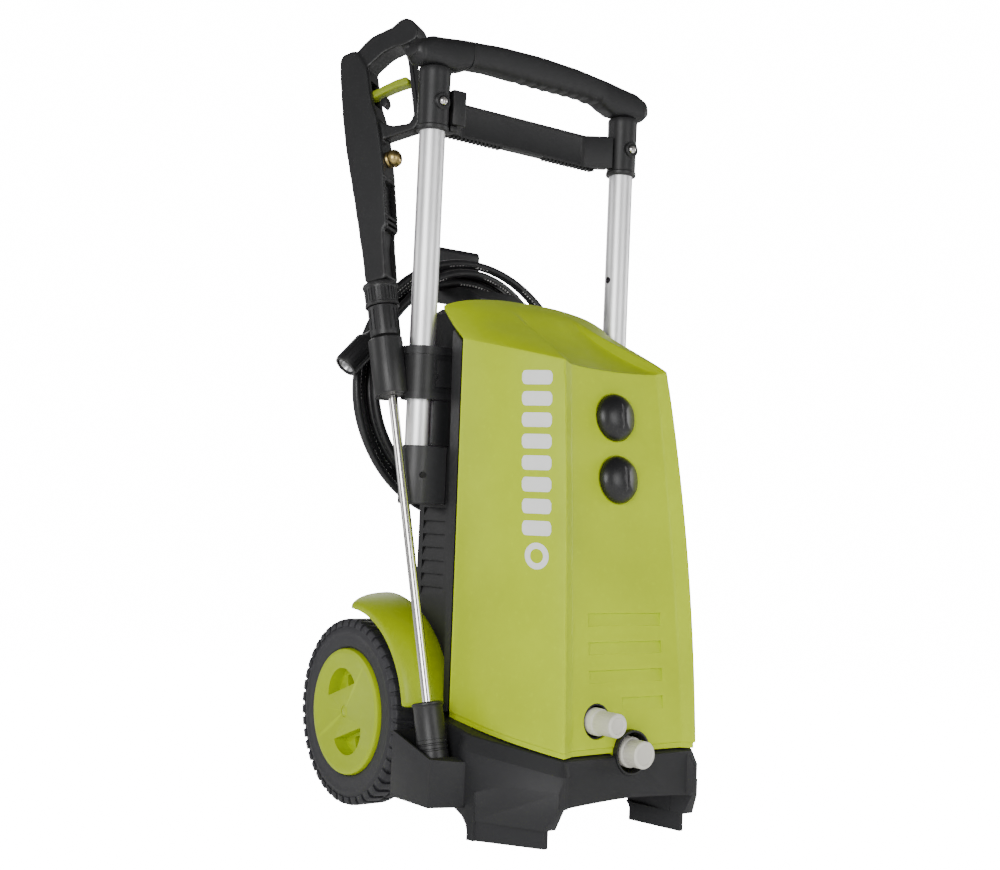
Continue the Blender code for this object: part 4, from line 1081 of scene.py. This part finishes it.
# ---- gun and lance --------------------------------------------------------
LANCE = Matrix.Translation(FOOT) @ LEAN
GRIP = Matrix.Translation(FOOT) @ GUN


def lance():
    nozzle = [(0, 0.0575), (0.0060, 0.0575), (0.0150, 0.0575), (0.0165, 0.0570), (0.0172, 0.0560),
              (0.0172, 0.0545), (0.0164, 0.0538), (0.0158, 0.0520), (0.0160, 0.0300), (0.0164, 0.0180),
              (0, 0.0180)]
    done(lathe("nozzle_skin", nozzle, GUN_BLACK, LANCE, 72), "lance", "nozzle_body")
    ring = [(0.0073, 0.0177), (0.0166, 0.0177), (0.0167, 0.0140), (0.0158, 0.0134), (0.0158, 0.0120),
            (0.0167, 0.0114), (0.0167, 0.0084), (0.0158, 0.0078), (0.0158, 0.0064), (0.0167, 0.0058),
            (0.0168, -0.0084), (0.0156, -0.0098), (0.0110, -0.0100), (0.0100, -0.0060), (0.0073, -0.0040)]
    piece = lathe("nozzle_ring_skin", ring, GUN_BLACK, LANCE, 72)
    done(piece, "nozzle_ring", "nozzle_ring")
    done(lathe("wand_skin", [(0, 0.3997), (0.0053, 0.3997), (0.0053, 0.0582), (0.0062, 0.0580),
                             (0.0062, 0.0579), (0, 0.0579)], CHROME, LANCE, 40), "lance", "wand")
    neck = [(0, 0.5047), (0.0165, 0.5047), (0.0175, 0.5037), (0.0175, 0.4720), (0.0170, 0.4695),
            (0.0140, 0.4670), (0.0140, 0.4010), (0.0130, 0.4000), (0, 0.4000)]
    piece = lathe("lance_grip_skin", neck, GUN_BLACK, LANCE, 64)
    flutes = [block("flute", (0.0168, -0.0009, 0.4760), (0.0190, 0.0009, 0.5000), None,
                    LANCE @ Matrix.Rotation(2 * math.pi * i / 18, 4, "Z")) for i in range(18)]
    cut(piece, join("lance_flutes", flutes))
    done(piece, "lance", "lance_grip")
    collar = [(0, 0.5327), (0.0180, 0.5327), (0.0200, 0.5320), (0.0205, 0.5308), (0.0205, 0.5285),
              (0.0196, 0.5278), (0.0193, 0.5260), (0.0190, 0.5090), (0.0198, 0.5080), (0.0198, 0.5060),
              (0.0188, 0.5050), (0, 0.5050)]
    piece = lathe("lance_collar_skin", collar, GUN_BLACK, LANCE, 72)
    ribs = [block("rib", (0.0184, -0.0007, 0.5100), (0.0210, 0.0007, 0.5250), None,
                  LANCE @ Matrix.Rotation(2 * math.pi * i / 30, 4, "Z")) for i in range(30)]
    cut(piece, join("collar_ribs", ribs))
    done(piece, "gun", "lance_collar")
    holder = lathe("lance_holder_skin", [(0.0146, 0.4655), (0.0200, 0.4655), (0.0210, 0.4645),
                                         (0.0208, 0.4400), (0.0200, 0.4020), (0.0192, 0.4000),
                                         (0.0146, 0.4000)], GUN_BLACK, LANCE, 72)
    cut(holder, block("clamp_room", (-0.1668, 0.0300, 0.4000), (-0.1000, 0.0880, 0.6000)))
    cut(holder, block("holder_crease", (-0.0260, -0.0012, 0.3900), (-0.0203, 0.0012, 0.4700), None,
                      LANCE @ Matrix.Rotation(math.radians(55), 4, "Z")))
    done(holder, "machine", "lance_holder")


def gun():
    barrel = [(0.0120, 0.5333), (0.0112, 0.5570), (0.0138, 0.6300), (0.0174, 0.7030), (0.0168, 0.7515),
              (0.0146, 0.7920), (0.0122, 0.8150), (0.0070, 0.8218), (-0.0095, 0.8222), (-0.0140, 0.8150),
              (-0.0222, 0.7960), (-0.0225, 0.7680), (-0.0235, 0.7500), (-0.0270, 0.7330),
              (-0.0288, 0.7000), (-0.0283, 0.6640), (-0.0245, 0.5960), (-0.0195, 0.5930),
              (-0.0178, 0.5740), (-0.0160, 0.5333)]
    handle_loop = [(0.0000, 0.7850), (0.0000, 0.8120), (-0.0095, 0.8195), (-0.0214, 0.8274),
                   (-0.0330, 0.8334), (-0.0615, 0.8364), (-0.0680, 0.8406), (-0.0779, 0.8428),
                   (-0.0880, 0.8359), (-0.0928, 0.8240), (-0.0890, 0.8112), (-0.0720, 0.8087),
                   (-0.0590, 0.8105), (-0.0451, 0.8082), (-0.0331, 0.8024), (-0.0212, 0.7960),
                   (-0.0180, 0.7850)]
    body = prism("gun_skin", filleted(barrel, 0.006, 4), 0.0310, SIDE, 0, GUN_BLACK, GRIP)
    cut(body, prism("gun_handle", filleted(handle_loop, 0.005, 4), 0.0270, SIDE, 0, None, GRIP),
        operation="UNION")
    guard = filleted([(-0.0100, 0.7030), (-0.0100, 0.7350), (-0.0240, 0.7345), (-0.0330, 0.7230),
                      (-0.0430, 0.7165), (-0.0650, 0.7130), (-0.0715, 0.7210), (-0.0725, 0.7900),
                      (-0.0660, 0.8180), (-0.0760, 0.8290), (-0.0785, 0.7950), (-0.0785, 0.7130),
                      (-0.0710, 0.7040)], 0.004, 3)
    cut(body, prism("guard_loop", guard, 0.0180, SIDE, 0, None, GRIP), operation="UNION")
    soften(body, 0.0012, 8)
    bake(body)
    slot = block("trigger_slot", (-0.0083, -0.0300, 0.7490), (0.0083, -0.0040, 0.7810), None, GRIP)
    cut(body, slot)
    groove = [(-0.0400, 0.5380), (-0.0120, 0.5380), (-0.0130, 0.5700), (-0.0180, 0.6000),
              (-0.0215, 0.6500), (-0.0400, 0.6560)]
    cut(body, prism("front_groove", groove, 0.0220, SIDE, 0, None, GRIP))
    across = Matrix.Rotation(math.pi / 2, 4, "Y")
    teeth = [rod("serration", 0.0016, -0.02, 0.02, None,
                 GRIP @ at(0, -0.0284 + 0.00044 * i, 0.6560 - 0.0078 * i, across), 16) for i in range(8)]
    cut(body, join("serrations", teeth))
    done(body, "gun", "gun_body", angle=38)
    ribs = [block("rib", (-0.0125, -0.0238 + 0.0004 * i, 0.6000 - 0.0068 * i),
                  (0.0125, -0.0150, 0.6034 - 0.0068 * i), None, GRIP)
            for i in range(-1, 2)]
    done(solid("gun_ribs", ribs, GUN_BLACK), "gun")
    lever = filleted([(-0.0060, 0.7600), (-0.0060, 0.7680), (-0.0250, 0.7685), (-0.0400, 0.7710),
                      (-0.0550, 0.7730), (-0.0690, 0.7725), (-0.0695, 0.7625), (-0.0560, 0.7630),
                      (-0.0400, 0.7620), (-0.0250, 0.7590)],
                     0.004, 4)
    trigger = prism("trigger_skin", lever, 0.0150, SIDE, 0, GREEN_TRIGGER, GRIP)
    bevel(trigger, 0.0022, 3, 50)
    done(trigger, "trigger", "trigger", angle=50)
    tab = filleted([(-0.0300, 0.7560), (-0.0380, 0.7575), (-0.0390, 0.7480), (-0.0340, 0.7430),
                    (-0.0300, 0.7480)],
                   0.0015, 3)
    lock = prism("trigger_lock_skin", tab, 0.0100, SIDE, 0, GUN_BLACK, GRIP)
    bevel(lock, 0.0010, 2, 50)
    done(lock, "trigger_lock", "trigger_lock", angle=50)
    ball = [(0, 0.0160), (0.0045, 0.0160), (0.0060, 0.0152), (0.0084, 0.0135), (0.0100, 0.0105),
            (0.0106, 0.0075), (0.0100, 0.0045), (0.0088, 0.0030), (0.0094, 0.0018), (0.0094, 0), (0, 0)]
    spot = GRIP @ at(0, -0.0290, 0.6800, TO_FRONT)
    piece = lathe("gun_inlet_skin", ball, BRASS, spot, 40)
    cut(piece, rod("inlet_hole", 0.0034, 0.009, 0.020, None, spot, 24))
    done(piece, "gun", "gun_inlet")


# ---- front controls and fittings ------------------------------------------
def controls():
    for name, z in (("detergent_knob", 0.451), ("power_knob", 0.383)):
        place = at(KNOB_X, panel_y(z) - 0.0007, z, Matrix.Rotation(math.pi / 2 - PANEL_LEAN, 4, "X"))
        dome = [(0, 0.0150), (0.0060, 0.0148), (0.0110, 0.0140), (0.0160, 0.0124), (0.0205, 0.0100),
                (0.0240, 0.0068), (0.0256, 0.0040), (KNOB_R, 0.0018), (KNOB_R, 0.0004),
                (0.0250, -0.0010), (0.0060, -0.0010), (0.0060, -0.0060), (0, -0.0060)]
        knob = lathe(name + "_skin", dome, KNOB_BLACK, place, 96)
        facet = [(0.0045, 0.0152), (0.0300, 0.0028), (0.0300, 0.0300), (0.0045, 0.0300)]
        cut(knob, prism("knob_facet", facet, 0.0600, FACE, 0, None, place))
        groove = [(-0.0010, 0.0300), (-0.0010, 0.0139), (0.0008, 0.0130), (0.0026, 0.0139),
                  (0.0026, 0.0300)]
        cut(knob, prism("knob_line", groove, 0.0600, FACE, 0, None, place))
        bake(knob)
        bevel(knob, 0.0007, 2, 25)
        done(knob, name, name, angle=40)
    for word, x, z, front, radius in (("outlet", -0.043, 0.1285, -0.178, 0.0125),
                                      ("inlet", 0.003, 0.0945, -0.1705, 0.0145)):
        place = at(x, 0, z, TO_FRONT)
        face = -front
        cap = [(0, face - 0.0012), (radius - 0.0045, face - 0.0012), (radius - 0.0036, face),
               (radius - 0.0012, face - 0.0002), (radius, face - 0.0016), (radius, 0.1512),
               (radius + 0.0010, 0.1504), (radius + 0.0018, 0.1490), (radius + 0.0018, 0.1400),
               (radius - 0.0040, 0.1400), (radius - 0.0040, face - 0.0060), (0, face - 0.0060)]
        piece = lathe(word + "_cap_skin", cap, CAP_WHITE, place, 96)
        marks = [block("knurl", (radius - 0.0004, -0.0006, 0.1530),
                       (radius + 0.0010, 0.0006, face - 0.0040), None,
                       place @ Matrix.Rotation(2 * math.pi * i / 26, 4, "Z")) for i in range(26)]
        cut(piece, join("cap_knurls", marks))
        done(piece, word + "_cap", word + "_cap")
        stem = [(0, face - 0.0065), (radius - 0.0048, face - 0.0065), (radius - 0.0045, 0.1362),
                (radius + 0.0010, 0.1360), (radius + 0.0018, 0.1350), (radius + 0.0018, 0.1310),
                (0.0095, 0.1300), (0.0095, 0.0600), (0, 0.0600)]
        done(lathe(word + "_fitting_skin", stem, BRASS, place, 48), "machine", word + "_fitting")


# ---- rear -----------------------------------------------------------------
def rear():
    top = 0.61789
    shape = filleted([(0.1003, 0.5000), (0.1080, 0.5000), (0.1080, 0.5890), (0.2160, top - 0.0120),
                      (0.2160, 0.6740), (0.2120, 0.6790), (0.2070, 0.6740), (0.2070, top), (0.1400, top),
                      (0.1003, 0.6000)],
                     [0.0005, 0.003, 0.006, 0.006, 0.003, 0.003, 0.003, 0.003, 0.010, 0.0005], 4)
    hook = prism("hose_hook_skin", shape, 0.0720, SIDE, COIL.x, CASE_BLACK)
    bevel(hook, 0.0022, 3, 40)
    bake(hook)
    slots = [block("hook_slot", (COIL.x + dx - 0.0030, 0.2140, 0.6300),
                   (COIL.x + dx + 0.0030, 0.2200, 0.6680))
             for dx in (-0.022, -0.011, 0.0, 0.011, 0.022)]
    cut(hook, join("hook_slots", slots))
    done(hook, "machine", "hose_hook")
    gland = [(0, 0.1190), (0.0052, 0.1190), (0.0066, 0.1184), (0.0074, 0.1168), (0.0080, 0.1160),
             (0.0088, 0.1150), (0.0094, 0.1135), (0.0110, 0.1125), (0.0125, 0.1110), (0.0150, 0.1080),
             (0.0150, 0.1003), (0.0100, 0.1003), (0.0100, 0.0920), (0, 0.0920)]
    piece = lathe("cord_gland_skin", gland, GRIP_RUBBER, at(0.085, 0, 0.160, TO_REAR), 48)
    cut(piece, rod("cord_hole", 0.0037, 0.100, 0.130, None, at(0.085, 0, 0.160, TO_REAR), 24))
    done(piece, "machine", "cord_gland")
    cap = [(0, 0.1072), (0.0110, 0.1072), (0.0120, 0.1085), (0.0150, 0.1085), (0.0166, 0.1075),
           (0.0170, 0.1060), (0.0170, 0.0958), (0, 0.0958)]
    piece = lathe("detergent_cap_skin", cap, CASE_BLACK, at(0, 0, 0.300, TO_REAR), 64)
    spins = [Matrix.Rotation(2 * math.pi * i / 24, 4, "Z") for i in range(24)]
    marks = [block("knurl", (0.0162, -0.0007, 0.1012), (0.0180, 0.0007, 0.1066), None,
                   at(0, 0, 0.300, TO_REAR) @ spin) for spin in spins]
    cut(piece, join("filler_knurls", marks))
    cut(piece, block("filler_bar", (-0.0022, -0.0140, 0.1060), (0.0022, 0.0140, 0.1100), None,
                     at(0, 0, 0.300, TO_REAR)))
    done(piece, "detergent_cap", "detergent_cap")


def inner_materials():
    """The CAD's own shapes that stay get materials with real surface detail."""
    looks = {"motor_case": STEEL, "motor_rotor": STEEL, "wobble_plate": STEEL, "pump_body": CAST,
             "pump_head": CAST, "piston_1": CHROME, "piston_2": CHROME, "piston_3": CHROME,
             "pump_cradle": CASE_BLACK, "detergent_tank": TANK_WHITE, "detergent_valve": TANK_WHITE,
             "power_switch": DEEP_BLACK, "wheel_axle": STEEL}
    for name, material in looks.items():
        node = bpy.data.objects[name]
        for slot in node.material_slots:
            slot.material = material


camera()
studio()
hose()
shell = front_shell()
panel_mark(shell)
base()
housing()
fenders()
wheels()
handle()
mounts()
lance()
gun()
controls()
rear()
inner_materials()
